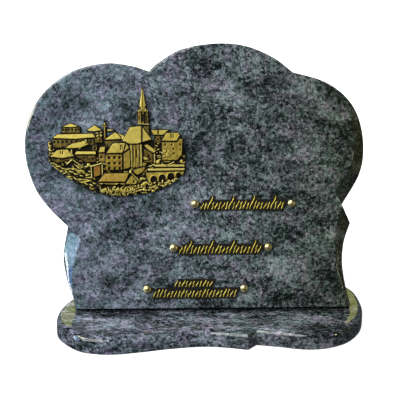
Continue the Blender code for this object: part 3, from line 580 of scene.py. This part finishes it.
def softened(field, radius, step):
    """A field blurred over a radius. The step is the grid's."""
    reach = int(3 * radius / step) + 1
    weights = np.exp(-0.5 * (np.arange(-reach, reach + 1) * step / radius) ** 2)
    weights /= weights.sum()
    padded = np.pad(field, reach, mode="edge")
    rows = sum(w * padded[:, k:k + field.shape[1]] for k, w in enumerate(weights))
    return sum(w * rows[k:k + field.shape[0]] for k, w in enumerate(weights))


class Relief:
    """Height, patina and warmth of the casting on a grid, in millimetres. On walls the patina also
    carries painted shade.
    """

    def __init__(self):
        step = RELIEF_GRID / MM
        half = RELIEF_WIDTH / MM / 2 - 0.1
        self.step = step
        xs = np.arange(-half, half + step, step)
        ys = np.arange(0.0, RELIEF_HEIGHT / MM + step, step)
        self.x, self.y = np.meshgrid(xs, ys)
        outline = smooth_run(RELIEF_FOOT, 8) * (RELIEF_WIDTH / MM, RELIEF_HEIGHT / MM)
        outline[:, 1] = np.minimum(outline[:, 1], RELIEF_SKYLINE / MM)
        self.depth = polygon_depth(self.x, self.y, [tuple(p) for p in outline])
        self.height = np.full(self.x.shape, 2.4)
        self.patina = np.full(self.x.shape, 0.85)
        self.warmth = np.full(self.x.shape, 0.5)
        self.random = np.random.default_rng(7)

    def waves(self, radius):
        """A smooth random field of unit spread."""
        field = softened(self.random.normal(0, 1, self.x.shape), radius, self.step)
        return field / field.std()

    def lay(self, inside, height, patina, warmth):
        """Sets what the casting has where a mask is true."""
        self.height = np.where(inside, height, self.height)
        self.patina = np.where(inside, patina, self.patina)
        self.warmth = np.where(inside, warmth, self.warmth)

    def ledges(self, top, pitch, wander, base, rise):
        """Wavy ledges that follow the curve of the foot, below a given height."""
        level = (self.y - 0.0036 * self.x ** 2 + wander * self.waves(2.4)) / pitch
        ridge = np.sin(math.pi * (level - np.floor(level))) ** 0.8
        ridge = ridge * np.clip(0.75 + 0.35 * self.waves(1.6), 0, 1)
        self.lay(self.y < top, base + rise * ridge, np.clip(1.30 - 1.35 * ridge, 0, 1), 0.2)

    def face(self, kind, top, foot, warmth, corners):
        """One flat face of a house with a dark line sunk along its edge."""
        depth = polygon_depth(self.x, self.y, list(corners))
        self.depth = np.maximum(self.depth, depth)
        heights = [y for _, y in corners]
        down = (max(heights) - self.y) / (max(heights) - min(heights))
        edge = np.clip(1 - depth / GROOVES[kind], 0, 1)
        level = top + (foot - top) * np.clip(down, 0, 1) - 0.9 * edge ** 2
        if kind in ("wall", "shaded_wall"):
            level = level - 0.05 * (np.cos(self.y * 2 * math.pi / 1.9) > 0.8)
        # On walls the patina never falls below a floor: painted shade together with duller gilding.
        patina = np.maximum(np.minimum(edge * 1.8, 1), DULLNESS_AND_SHADE[kind])
        self.lay(depth > 0, level, patina, warmth)

    def opening(self, depth, sunk=1.1):
        wall = np.clip(depth / 0.35, 0, 1)
        self.lay(depth > 0, self.height - sunk * wall, 1.0, self.warmth)

    def window(self, x, y, width, height):
        corners = [(x + across * width / 2, y + up * height / 2)
                   for across, up in ((-1, -1), (1, -1), (1, 1), (-1, 1))]
        self.opening(polygon_depth(self.x, self.y, corners))

    def arch(self, x, foot, width, height):
        half = width / 2
        spring = foot + height - half
        corners = [(x - half, foot)]
        corners += [(x + half * math.cos(turn), spring + half * math.sin(turn))
                    for turn in np.linspace(math.pi, 0, 13)]
        corners.append((x + half, foot))
        depth = polygon_depth(self.x, self.y, corners)
        self.height = self.height + 0.5 * np.clip(1 - np.abs(depth + 0.7) / 0.7, 0, 1)
        self.opening(depth, 1.6)

    def blade(self, x, y, length, width, angle, rise, base=2.6):
        """A leaf, reed or cleft of rock: a pointed ridge laid on what is there."""
        along = (self.x - x) * math.cos(angle) + (self.y - y) * math.sin(angle)
        across = -(self.x - x) * math.sin(angle) + (self.y - y) * math.cos(angle)
        across = across - 0.12 * length * (along / length * 2) ** 2
        taper = np.clip(1 - (2 * along / length) ** 2, 0, 1)
        ridge = np.clip(taper - (2 * across / width) ** 2, 0, 1)
        level = base + rise * np.sqrt(ridge)
        higher = (ridge > 0) & (level > self.height - 0.3)
        self.lay(higher, level, np.clip(1.25 - 1.9 * ridge, 0, 1), 0.25)


def draw_relief():
    relief = Relief()
    draw = relief.random
    relief.ledges(47.5, 4.1, 1.5, 2.5, 2.0)
    for kind, top, foot, warmth, corners in FACES:
        relief.face(kind, top, foot, warmth, corners)
    for opening in OPENINGS:
        relief.window(*opening)
    for arch in ARCHES:
        relief.arch(*arch)
    # Rock and leaves below the left houses
    for _ in range(26):
        share = draw.uniform(0, 1)
        x = -70 + 46 * share + draw.uniform(-3, 3)
        foot = 30 - 24 * share
        y = foot + draw.uniform(0, 1) * (37 - foot) * 0.95
        angle = math.radians(draw.uniform(-30, 8))
        relief.blade(x, y, draw.uniform(6, 10), draw.uniform(1.8, 2.6), angle,
                     draw.uniform(1.8, 2.6))
    # Reeds below the front house
    for index in range(38):
        x = -19 + 40 * (index + draw.uniform(-0.3, 0.3)) / 37
        relief.blade(x, 6.8 + draw.uniform(-2, 1.2), draw.uniform(6, 9.5), 1.5,
                     math.radians(90 + draw.uniform(-16, 16)), draw.uniform(2.0, 3.0))
    # Bushes at the lower right
    for _ in range(54):
        x = 20 + 50 * draw.uniform(0, 1)
        y = 3 + 0.0042 * (x - 12) ** 2 + draw.uniform(0, 9)
        relief.blade(x, y, draw.uniform(2.6, 4.6), draw.uniform(1.8, 2.5),
                     draw.uniform(-0.7, 0.9), draw.uniform(1.8, 2.8))
    # Trees at the left end, behind the church and at the right end
    for index in range(60):
        x, y, spread_x, spread_y = LEAVES[index % len(LEAVES)]
        relief.blade(x + spread_x * draw.uniform(-1, 1), y + spread_y * draw.uniform(-1, 1),
                     draw.uniform(2.6, 4.4), draw.uniform(1.2, 1.7), draw.uniform(-0.9, 0.9),
                     draw.uniform(1.6, 2.4))
    # A tree before the right house
    for _ in range(34):
        x = 57.5 + draw.normal(0, 3.2)
        y = 48 + draw.normal(0, 3.6)
        relief.blade(x, y, draw.uniform(3.0, 5.0), 1.3, draw.uniform(-0.5, 0.5),
                     draw.uniform(2.4, 3.2), base=3.0)
    return relief


def casting_surface(relief):
    """Points, patina, warmth and quads of the casting's face, with its rim on the true outline."""
    step = relief.step
    height = softened(relief.height, 0.22, step)
    height = height + CAST_GRAIN * softened(relief.random.normal(0, 1, height.shape), 0.5, step)
    hollow = softened(height, 1.1, step) - height
    patina = softened(relief.patina, 0.16, step) + 0.45 * np.clip(hollow, 0, 1)
    # Raised ridges get a patina below zero, which the material turns to pale gold: a painted
    # highlight.
    patina = np.clip(patina + 0.30 * np.clip(hollow + 0.15, -1, 0), -0.3, 1)
    warmth = softened(relief.warmth, 0.5, step)
    outside = relief.depth
    slope_y, slope_x = np.gradient(outside, step)
    keep = outside > -0.3 * step
    cell = keep[:-1, :-1] & keep[1:, :-1] & keep[:-1, 1:] & keep[1:, 1:]
    grid = np.arange(keep.size).reshape(keep.shape)
    quads = np.stack([grid[:-1, :-1], grid[:-1, 1:], grid[1:, 1:], grid[1:, :-1]], -1)[cell]
    used, quads = np.unique(quads, return_inverse=True)
    quads = quads.reshape(-1, 4)
    x, y, height, patina, warmth, outside, slope_x, slope_y = (
        field.ravel()[used]
        for field in (relief.x, relief.y, height, patina, warmth, outside, slope_x, slope_y))
    edges = np.vstack([quads[:, [0, 1]], quads[:, [1, 2]], quads[:, [2, 3]], quads[:, [3, 0]]])
    pairs, counts = np.unique(np.sort(edges, axis=1), axis=0, return_counts=True)
    rim = np.unique(pairs[counts == 1])
    shift = np.clip(-outside[rim], -step, step)
    length = np.hypot(slope_x[rim], slope_y[rim]) + 1e-6
    x[rim] += slope_x[rim] / length * shift
    y[rim] += slope_y[rim] / length * shift
    return np.stack([x, y, height], axis=1) * MM, patina, warmth, quads


def build_relief(material):
    points, patinas, warmths, quads = casting_surface(draw_relief())
    form = bmesh.new()
    patina_layer = form.verts.layers.float.new("patina")
    warmth_layer = form.verts.layers.float.new("warmth")
    verts = []
    for point, patina, warmth in zip(placed(points, RELIEF), patinas, warmths):
        vert = form.verts.new(point)
        vert[patina_layer] = patina
        vert[warmth_layer] = warmth
        verts.append(vert)
    for quad in quads:
        form.faces.new([verts[index] for index in quad]).smooth = True
    rim_edges = [edge for edge in form.edges if len(edge.link_faces) == 1]
    raised = bmesh.ops.extrude_edge_only(form, edges=rim_edges)["geom"]
    into = RELIEF.to_3x3() @ Vector((0, 0, 1))
    for vert in raised:
        if isinstance(vert, bmesh.types.BMVert):
            vert.co -= into * (vert.co - RELIEF.translation).dot(into)
            vert[patina_layer] = RIM_PATINA
    back_edges = [edge for edge in raised
                  if isinstance(edge, bmesh.types.BMEdge) and len(edge.link_faces) == 1]
    bmesh.ops.triangle_fill(form, edges=back_edges, use_beauty=False)
    bmesh.ops.recalc_face_normals(form, faces=form.faces)
    mesh = bpy.data.meshes.new("gilt_relief")
    form.to_mesh(mesh)
    form.free()
    mesh.materials.append(material)
    keep_inside(mesh, "village_relief")
    return add_stand_in("gilt_relief", mesh, "village_relief")


def closed_form(rings):
    """A closed form through rings of points, with a face on the first and on the last."""
    form = bmesh.new()
    verts = [form.verts.new(point) for ring in rings for point in ring]
    for face in ring_faces(len(rings), len(rings[0])):
        form.faces.new([verts[index] for index in face])
    return form


def bent_stroke(x, foot, height, width, bend):
    """A raised slanted stroke with a slight double bend, a rounded back and pointed ends. It
    stands for writing and is no letter."""
    t = np.linspace(0, 1, 11)
    across = x + math.tan(STROKE_SLANT) * height * t + bend * np.sin(2 * math.pi * t)
    path = np.stack([across, foot + height * t], axis=1)
    widths = width * (0.34 + 0.66 * np.sin(math.pi * (0.12 + 0.76 * t)))
    turn = np.linspace(0, math.pi, 7)
    rings = []
    for point, side, width in zip(path, right_normals(path), widths):
        up = BAR_THICKNESS + np.sin(turn) * STROKE_RISE * min(1.0, width / max(widths) + 0.25)
        ring = np.hstack([point + side * (-np.cos(turn) * width / 2)[:, None], up[:, None]])
        foot_points = ring[[-1, 0]]
        foot_points[:, 2] = BAR_THICKNESS - STROKE_SUNK
        rings.append(np.vstack([ring, foot_points]))
    return closed_form(rings)


def rounded_plate(left, right, foot, top, corner, high):
    """A plate with round corners and a small chamfer round its front."""
    corners = ((right - corner, top - corner, 0), (left + corner, top - corner, 1),
               (left + corner, foot + corner, 2), (right - corner, foot + corner, 3))
    rings = []
    for inset, level in ((0.0, 0.0), (0.0, high - PLATE_CHAMFER), (PLATE_CHAMFER, high)):
        radius = corner - inset
        rings.append([(x + radius * math.cos(turn), y + radius * math.sin(turn), level)
                      for x, y, quarter in corners
                      for turn in np.linspace(0, math.pi / 2, 6) + quarter * math.pi / 2])
    return closed_form(rings)


def lug(x, y):
    """The round end of a bar under a screw."""
    radius = LUG_DIAMETER / 2
    return rounded_plate(x - radius, x + radius, y - radius, y + radius, radius - ROUND_ENOUGH,
                         LUG_THICKNESS)


def helper_object(name, form, materials, slot):
    bmesh.ops.recalc_face_normals(form, faces=form.faces)
    mesh = bpy.data.meshes.new(name)
    form.to_mesh(mesh)
    form.free()
    for material in materials:
        mesh.materials.append(material)
    for face in mesh.polygons:
        face.material_index = slot
    item = bpy.data.objects.new(name, mesh)
    bpy.context.scene.collection.objects.link(item)
    return item


def merged(forms):
    whole = bmesh.new()
    for form in forms:
        mesh = bpy.data.meshes.new("part")
        bmesh.ops.recalc_face_normals(form, faces=form.faces)
        form.to_mesh(mesh)
        form.free()
        whole.from_mesh(mesh)
        bpy.data.meshes.remove(mesh)
    return whole


def union_of(base_form, groups, materials, name):
    """The union of a form and some groups of forms, each with its material slot."""
    item = helper_object(name, base_form, materials, 0)
    helpers = []
    for index, (forms, slot) in enumerate(groups):
        helper = helper_object(name + str(index), merged(forms), materials, slot)
        step = item.modifiers.new("union", "BOOLEAN")
        step.operation = "UNION"
        step.object = helper
        step.solver = "EXACT"
        step.use_self = True
        helpers.append(helper)
    bpy.context.view_layer.update()
    evaluated = item.evaluated_get(bpy.context.evaluated_depsgraph_get())
    mesh = bpy.data.meshes.new_from_object(evaluated)
    for helper in helpers + [item]:
        bpy.data.objects.remove(helper, do_unlink=True)
    return mesh


def stroke_places(left, right):
    """Feet of the strokes of a row, and which of them are tall."""
    count = max(3, int((right - left) / STROKE_PITCH))
    pitch = (right - left) / count
    return [(left + pitch * index, index % TALL_EVERY == 2) for index in range(count + 1)]


def stroke_row(left, right, foot, height, tall, seed):
    """Strokes of uneven height in an easy rhythm, tall ones now and then."""
    draw = np.random.default_rng(seed)
    forms = []
    for index, (x, is_tall) in enumerate(stroke_places(left, right)):
        reach = tall if is_tall else height * draw.choice(STROKE_HEIGHTS)
        bend = draw.uniform(0.00020, 0.00065) * (1 if index % 2 else -1)
        forms.append(bent_stroke(x + draw.uniform(-0.00025, 0.00025), foot, reach,
                                 STROKE_WIDTHS[index % 3], bend))
    return forms


def build_bar(bar, seed, dark, gilt):
    name, screw_left, screw_right, height, drop, rows = bar
    screw_left *= SLAB_WIDTH
    screw_right *= SLAB_WIDTH
    middle_up = height * SLAB_HEIGHT
    to_strip = SCREW_DIAMETER / 2 + BAR_END_CLEARANCE
    left = screw_left + to_strip
    right = screw_right - to_strip
    foot = middle_up - (drop + 0.5) * BAR_STRIP_HEIGHT
    top = foot + BAR_STRIP_HEIGHT
    inside = BAR_STRIP_HEIGHT - 2 * STROKE_MARGIN
    plates = []
    for x, inner in ((screw_left, left + NECK_REACH), (screw_right, right - NECK_REACH)):
        neck = LUG_DIAMETER / 2 * NECK_HALF
        plates.append(lug(x, middle_up))
        plates.append(rounded_plate(min(x, inner), max(x, inner), middle_up - neck,
                                    middle_up + neck * NECK_TOP, NECK_CORNER, LUG_THICKNESS))
    first, last = left + STROKE_MARGIN, right - END_LEAN - STROKE_MARGIN
    if rows == 1:
        tall = inside * TALL_REACH
        strokes = stroke_row(first, last, foot + STROKE_MARGIN, inside, tall, seed)
        reach = STROKE_MARGIN * 1.6 + tall
        for x, is_tall in stroke_places(first, last):
            if is_tall:
                far_side = x + TALL_BACKING + math.tan(STROKE_SLANT) * reach
                plates.append(leaning_plate(x - TALL_BACKING, far_side, foot + STROKE_LIFT,
                                            foot + reach, TALL_END_CUT))
    else:
        row = BAR_STRIP_HEIGHT * UPPER_HEIGHT
        upper_left, upper_right = (left + (right - left) * share for share in UPPER_ROW)
        plates.append(leaning_plate(upper_left, upper_right, top - UPPER_LAP, top + row))
        strokes = stroke_row(first, last, foot + STROKE_MARGIN, inside * 0.95, inside * 0.98, seed)
        strokes += stroke_row(upper_left + STROKE_MARGIN, upper_right - END_LEAN - STROKE_MARGIN,
                              top + STROKE_LIFT, row * 0.78, row * 0.80, seed + 1)
    mesh = union_of(leaning_plate(left, right, foot, top), ((plates, 0), (strokes, 1)),
                    (dark, gilt), "inscription_" + name)
    mesh.transform(ORNAMENTS)
    keep_inside(mesh, "inscription_bar_" + name)
    mesh.shade_smooth()
    mesh.set_sharp_from_angle(angle=math.radians(35.0))
    mesh.update()
    return add_stand_in("inscription_" + name, mesh, "inscription_bar_" + name)


def leaning_plate(left, right, foot, top, narrowing=0.0):
    """A plate whose ends lean as the strokes do, with cut corners."""
    lean = math.tan(STROKE_SLANT) * (top - foot) - narrowing
    cut = CORNER_CUT
    lean_step = cut * math.tan(STROKE_SLANT)
    ring = ((left + cut * 0.4, foot), (right - lean - cut, foot),
            (right - lean + lean_step, foot + cut), (right, top - cut), (right - cut * 0.5, top),
            (left + lean + cut, top), (left + lean - lean_step, top - cut), (left, foot + cut))
    return closed_form([[(x, y, level) for x, y in ring] for level in (0.0, BAR_THICKNESS)])


def build_screw(name, x, y, material):
    """A domed brass head, turned from its profile."""
    radius = SCREW_DIAMETER / 2 - SCREW_INSET
    profile = [(radius - SCREW_EDGE, 0.0), (radius, SCREW_EDGE), (radius, SCREW_RIM * 0.7)]
    for turn in np.linspace(0.12, math.pi / 2, 14)[:-1]:
        profile.append((radius * math.cos(turn),
                        SCREW_RIM + (SCREW_RISE - SCREW_RIM) * math.sin(turn)))
    foot = LUG_THICKNESS + TOUCH_GAP
    points = [(x + across * math.cos(turn), y + across * math.sin(turn), foot + up)
              for across, up in profile
              for turn in np.arange(SCREW_SIDES) * 2 * math.pi / SCREW_SIDES]
    points.append((x, y, foot + SCREW_RISE))
    last = len(points) - 1 - SCREW_SIDES
    faces = band_faces(len(profile), SCREW_SIDES)
    faces += [(last + index, last + (index + 1) % SCREW_SIDES, len(points) - 1)
              for index in range(SCREW_SIDES)]
    faces.append(tuple(range(SCREW_SIDES)))
    return add_piece("brass_cap_" + name, placed(points, ORNAMENTS), faces, material,
                     "screw_" + name, flat_faces=(len(faces) - 1,), sharp_degrees=50.0)


class Shader:
    """A material whose nodes are added one after another."""

    def __init__(self, name):
        self.material = bpy.data.materials.new(name)
        self.material.use_nodes = True
        self.tree = self.material.node_tree
        self.surface = self.tree.nodes["Principled BSDF"]

    def add(self, kind, settings=None, **inputs):
        node = self.tree.nodes.new(kind)
        for key, value in (settings or {}).items():
            setattr(node, key, value)
        for key, value in inputs.items():
            self.put(node, key.replace("_", " "), value)
        return node

    def put(self, node, key, value):
        socket = node.inputs[int(key)] if key.isdigit() else node.inputs[key]
        if isinstance(value, bpy.types.NodeSocket):
            self.tree.links.new(value, socket)
        else:
            socket.default_value = value

    def math(self, operation, first, second=0.0, third=None):
        node = self.add("ShaderNodeMath", {"operation": operation})
        self.put(node, "0", first)
        self.put(node, "1", second)
        if third is not None:
            self.put(node, "2", third)
        return node.outputs[0]

    def noise(self, vector, scale, detail=2.0, roughness=0.5, distortion=0.0, output="Fac"):
        return self.add("ShaderNodeTexNoise", Vector=vector, Scale=scale, Detail=detail,
                        Roughness=roughness, Distortion=distortion).outputs[output]

    def ramp(self, factor, *stops):
        """A colour, or a grey where a stop gives one value, that follows a factor."""
        node = self.add("ShaderNodeValToRGB", Fac=factor)
        band = node.color_ramp
        while len(band.elements) < len(stops):
            band.elements.new(0.5)
        for element, (place, colour) in zip(band.elements, stops):
            element.position = place
            element.color = (*colour, 1.0) if isinstance(colour, tuple) else (*[colour] * 3, 1.0)
        return node.outputs["Color"]

    def mix(self, factor, first, second, blend="MIX"):
        node = self.add("ShaderNodeMix", {"data_type": "RGBA", "blend_type": blend})
        for key, value in (("0", factor), ("6", first), ("7", second)):
            self.put(node, key, value)
        return node.outputs[2]

    def shifted(self, point, noise_colour, reach):
        """A point moved by a colour noise."""
        node = self.add("ShaderNodeVectorMath", {"operation": "MULTIPLY_ADD"})
        for key, value in (("0", noise_colour), ("1", (reach,) * 3), ("2", point)):
            self.put(node, key, value)
        return node.outputs[0]

    def crystals(self, point, scale):
        """Two random values, the same all over each crystal."""
        node = self.add("ShaderNodeTexVoronoi", Vector=point, Scale=scale)
        values = self.add("ShaderNodeSeparateColor", Color=node.outputs["Color"])
        return values.outputs["Red"], values.outputs["Green"]

    def finish(self, bump=None, **surface):
        """Sets what the surface has, with a bump of a given height, strength and distance."""
        if bump:
            node = self.add("ShaderNodeBump", Height=bump[0], Strength=bump[1], Distance=bump[2])
            self.put(self.surface, "Normal", node.outputs["Normal"])
        for key, value in surface.items():
            self.put(self.surface, key.replace("_", " "), value)
        return self.material

    def mapped(self, vector, turn, scale):
        return self.add("ShaderNodeMapping", Vector=vector, Rotation=turn,
                        Scale=scale).outputs["Vector"]

    def object_point(self, turn=(0, 0, 0), scale=(1, 1, 1)):
        return self.mapped(self.add("ShaderNodeTexCoord").outputs["Object"], turn, scale)


def granite_material(name, turn, scale, streaks, veil, low_side_painted_light, high_side_painted_light):
    """Polished blue-grey granite: crystals from green-black to pale blue-grey, the dark ones
    crowded along flowing streaks, with lilac and teal patches. Streaks are an angle in degrees
    and the scales along and across them. Across, the stone runs from one tint to the other, and
    the veil evens out the tones at the first. The tints are painted light and shade: one side
    lighter and bluer, the other darker and more olive. Turned half round, it runs to the left."""
    shader = Shader(name)
    point = shader.object_point(turn, scale)
    across = shader.add("ShaderNodeSeparateXYZ", Vector=point).outputs["X"]
    across = shader.math("MULTIPLY_ADD", across, 1 / (SLAB_WIDTH * scale[0]), 0.5)
    warped = shader.shifted(point, shader.noise(point, 17.0, output="Color"), 0.034)
    angle, along, aside = streaks
    flow = shader.mapped(warped, (0.0, 0.0, math.radians(angle)), (along, aside, aside))
    ragged = shader.shifted(point, shader.noise(point, 430.0, 2.0, 0.6, output="Color"), 0.0030)
    large_tone, large_hue = shader.crystals(ragged, 330.0)
    small_tone, small_hue = shader.crystals(ragged, 740.0)
    crowding = shader.noise(flow, 34.0, 5.0, 0.70)
    region = shader.noise(point, 11.0)
    shares = ((large_tone, 0.34), (small_tone, 0.32), (crowding, 1.25), (region, 0.36))
    tone = -sum(share for _, share in shares) / 2
    for value, share in shares:
        tone = shader.math("MULTIPLY_ADD", value, share, tone)
    clearness = shader.ramp(across, (0.10, 1 - veil), (0.55, 1))
    tone = shader.math("MULTIPLY_ADD", tone, clearness, 0.5)
    colour = shader.ramp(
        tone, (0.28, (0.003, 0.006, 0.005)), (0.40, (0.026, 0.038, 0.037)),
        (0.50, (0.066, 0.083, 0.087)), (0.60, (0.118, 0.145, 0.156)),
        (0.72, (0.205, 0.242, 0.265)), (0.86, (0.330, 0.380, 0.410)))
    # Lilac and then teal patches: pattern, crystals, where it starts and is full, its colour
    for pattern, hue, start, full, cast in (
            (shader.noise(point, 58.0, 3.0, 0.6, 0.5), large_hue, 0.54, 0.70, (1.17, 0.90, 1.07, 1)),
            (shader.noise(warped, 34.0, 3.0, 0.6, 0.6), small_hue, 0.57, 0.75, (0.84, 0.97, 0.90, 1))):
        patch = shader.ramp(shader.math("MULTIPLY_ADD", hue, 0.16, pattern), (start, 0), (full, 1))
        colour = shader.mix(patch, colour, shader.mix(1.0, colour, cast, "MULTIPLY"))
    # Painted light and shade: lighter and bluer towards one side, darker and more olive towards the
    # other.
    tint = shader.ramp(across, (0.05, low_side_painted_light), (0.95, high_side_painted_light))
    return shader.finish((small_tone, 0.008, 0.0002), IOR=1.52,
                         Base_Color=shader.mix(1.0, colour, tint, "MULTIPLY"),
                         Roughness=shader.ramp(small_tone, (0.1, 0.045), (0.9, 0.070)))


def gilt_material():
    """Gilded bronze: mottled dull gold with brown-black patina in every recess. Through the patina it
    also gets painted shade on the walls and a painted highlight of pale gold on raised ridges.
    """
    shader = Shader("gilt bronze")
    point = shader.object_point()
    patina = shader.add("ShaderNodeAttribute", {"attribute_name": "patina"}).outputs["Fac"]
    warmth = shader.add("ShaderNodeAttribute", {"attribute_name": "warmth"}).outputs["Fac"]
    mottle = shader.math("SUBTRACT", shader.noise(point, 260.0, 4.0, 0.6), 0.5)
    fine = shader.noise(point, 1400.0, 3.0, 0.6)
    gold = shader.ramp(shader.math("MULTIPLY_ADD", mottle, 1.3, warmth),
                       (0.0, (0.53, 0.44, 0.085)), (0.35, (0.41, 0.312, 0.038)),
                       (0.70, (0.30, 0.180, 0.014)), (1.0, (0.33, 0.125, 0.010)))
    # Painted highlight: pale gold where the patina is below zero, on raised ridges.
    ridge_highlight = shader.ramp(shader.math("MULTIPLY", patina, -4.0), (0.1, 0), (0.9, 1))
    gold = shader.mix(ridge_highlight, gold, (0.66, 0.58, 0.22, 1))
    # Dark patina in recesses, and painted shade where the walls carry a patina floor.
    dark_patina_and_shade = shader.ramp(shader.math("MULTIPLY_ADD", mottle, 0.5, patina), (0.10, 0), (0.46, 1))
    return shader.finish((fine, 0.25, 0.0002),
                         Base_Color=shader.mix(dark_patina_and_shade, gold, (0.007, 0.005, 0.002, 1)),
                         Metallic=shader.ramp(dark_patina_and_shade, (0.0, 0.40), (1.0, 0.0)),
                         Specular_IOR_Level=shader.ramp(dark_patina_and_shade, (0.0, 0.5), (1.0, 0.12)),
                         Roughness=shader.ramp(fine, (0.3, 0.36), (0.7, 0.52)))


def stroke_material():
    """Gilding on the raised strokes of the bars."""
    shader = Shader("gilding")
    point = shader.object_point()
    mottle = shader.noise(point, 300.0, 3.0, 0.6)
    fine = shader.noise(point, 1500.0, 3.0, 0.6)
    return shader.finish((fine, 0.15, 0.0002), Metallic=0.6,
                         Base_Color=shader.ramp(mottle, (0.35, (0.34, 0.22, 0.02)),
                                                (0.5, (0.45, 0.37, 0.05)), (0.66, (0.54, 0.48, 0.12))),
                         Roughness=shader.ramp(fine, (0.3, 0.30), (0.7, 0.46)))


def dark_bronze_material():
    """Brown-black patinated ground of the bars."""
    shader = Shader("dark bronze")
    mottle = shader.noise(shader.object_point(), 420.0, 4.0, 0.65)
    return shader.finish((mottle, 0.3, 0.0002), Metallic=0.3,
                         Base_Color=shader.ramp(mottle, (0.32, (0.004, 0.003, 0.002)),
                                                (0.55, (0.009, 0.006, 0.003)),
                                                (0.74, (0.045, 0.030, 0.008))),
                         Roughness=shader.ramp(mottle, (0.3, 0.55), (0.7, 0.38)))


def brass_material():
    """Polished brass of the screw heads, with fine turning marks and slight tarnish."""
    shader = Shader("polished brass")
    point = shader.object_point()
    tarnish = shader.noise(point, 240.0, 3.0, 0.6)
    fine = shader.noise(point, 2200.0, 2.0, 0.6)
    return shader.finish((fine, 0.06, 0.0001), Metallic=1.0,
                         Base_Color=shader.ramp(tarnish, (0.32, (0.56, 0.42, 0.15)),
                                                (0.52, (0.80, 0.66, 0.32)),
                                                (0.72, (0.88, 0.77, 0.46))),
                         Roughness=shader.ramp(fine, (0.3, 0.26), (0.7, 0.38)))


def floor_material():
    shader = Shader("studio floor")
    cloud = shader.noise(shader.object_point(), 3.0)
    return shader.finish(Base_Color=shader.ramp(cloud, (0.3, 0.90), (0.7, 0.93)), Roughness=0.9,
                         Emission_Color=(1.0, 1.0, 1.0, 1.0), Emission_Strength=0.60,
                         Specular_IOR_Level=0.1)


def direction_of(azimuth, elevation):
    """A unit vector. Azimuth is in degrees from the viewer's side, plus to the right."""
    azimuth, elevation = math.radians(azimuth), math.radians(elevation)
    return Vector((math.cos(elevation) * math.sin(azimuth),
                   -math.cos(elevation) * math.cos(azimuth), math.sin(elevation)))


def aimed(name, data, place, aim, roll=0.0):
    """A light or camera that looks from a place to another."""
    item = bpy.data.objects.new(name, data)
    item.location = place
    facing = (Vector(aim) - Vector(place)).to_track_quat("-Z", "Y").to_matrix()
    item.rotation_euler = (facing @ Matrix.Rotation(math.radians(roll), 3, "Z")).to_euler()
    bpy.context.scene.collection.objects.link(item)
    return item


def add_sun(name, azimuth, elevation, strength, softness, colour, in_gloss):
    data = bpy.data.lights.new(name, "SUN")
    data.energy = strength
    data.angle = math.radians(softness)
    data.color = colour
    sun = aimed(name, data, direction_of(azimuth, elevation), (0, 0, 0))
    sun.visible_camera = False
    sun.visible_glossy = in_gloss


def add_card(name, seen_from, azimuth, elevation, distance, size, radiance, colour, roll):
    """A lit card that shows in polished surfaces and lights nothing else."""
    data = bpy.data.lights.new(name, "AREA")
    data.shape = "RECTANGLE"
    data.size, data.size_y = size
    data.energy = radiance * math.pi * size[0] * size[1]
    data.color = colour
    place = Vector(seen_from) + direction_of(azimuth, elevation) * distance
    card = aimed(name, data, place, seen_from, roll)
    card.visible_camera = False
    card.visible_diffuse = False


def build_floor():
    """A pale floor that only the camera sees."""
    mesh = bpy.data.meshes.new("studio_floor")
    corners = ((-1, -1), (1, -1), (1, 1), (-1, 1))
    mesh.from_pydata([(x * FLOOR_REACH, y * FLOOR_REACH, -FLOOR_DROP) for x, y in corners], [],
                     [(0, 1, 2, 3)])
    mesh.materials.append(floor_material())
    floor = bpy.data.objects.new("studio_floor", mesh)
    floor.visible_diffuse = False
    floor.visible_glossy = False
    floor.visible_shadow = False
    bpy.context.scene.collection.objects.link(floor)


def build_studio():
    build_floor()
    scene = bpy.context.scene
    scene.world = bpy.data.worlds.new("studio")
    scene.world.use_nodes = True
    background = scene.world.node_tree.nodes["Background"]
    background.inputs["Color"].default_value = (0.86, 0.95, 1.0, 1.0)
    background.inputs["Strength"].default_value = 0.09
    for sun in SUNS:
        add_sun(*sun)
    for card in CARDS:
        add_card(*card)
    data = bpy.data.cameras.new("camera")
    data.lens = CAMERA_LENS
    data.sensor_width = 36.0
    data.clip_start, data.clip_end = 0.05, 40.0
    scene.camera = aimed("camera", data, CAMERA_PLACE, CAMERA_AIM)
    scene.view_settings.view_transform = "Standard"


def main():
    # Turns the slab's face into the pattern's own plane
    face_turn = (SLAB_LEAN - math.pi / 2, 0.0, 0.0)
    # Slab and base are painted lighter and bluer at the left and darker and more olive at the right:
    # painted light and shade. The right bevels get a still darker tint, painted shade.
    slab_granite, shaded_bevel_granite = (
        granite_material(name, turn=face_turn, scale=(1.0, 1.0, 1.0), streaks=(-50, 0.52, 1.05),
                         veil=0.38, low_side_painted_light=(1.50, 1.58, 1.80), high_side_painted_light=right_side_painted_shade)
        for name, right_side_painted_shade in (("granite of the slab", (0.68, 0.69, 0.50)),
                                 ("granite of the right bevels with painted shade", (0.33, 0.33, 0.20))))
    base_granite = granite_material(
        "granite of the base", turn=(0.0, 0.0, math.pi), scale=(0.80, 1.15, 1.1),
        streaks=(4, 0.55, 1.3), veil=0.0, low_side_painted_light=(0.84, 0.84, 0.78), high_side_painted_light=(1.42, 1.40, 1.62))
    build_slab(slab_granite, shaded_bevel_granite)
    build_base(base_granite)
    build_relief(gilt_material())
    dark, gilt, brass = dark_bronze_material(), stroke_material(), brass_material()
    for seed, bar in enumerate(BARS):
        build_bar(bar, 11 + 10 * seed, dark, gilt)
        name, left, right, height = bar[:4]
        for side, across in (("_left", left), ("_right", right)):
            build_screw(name + side, across * SLAB_WIDTH, height * SLAB_HEIGHT, brass)
    build_studio()


main()
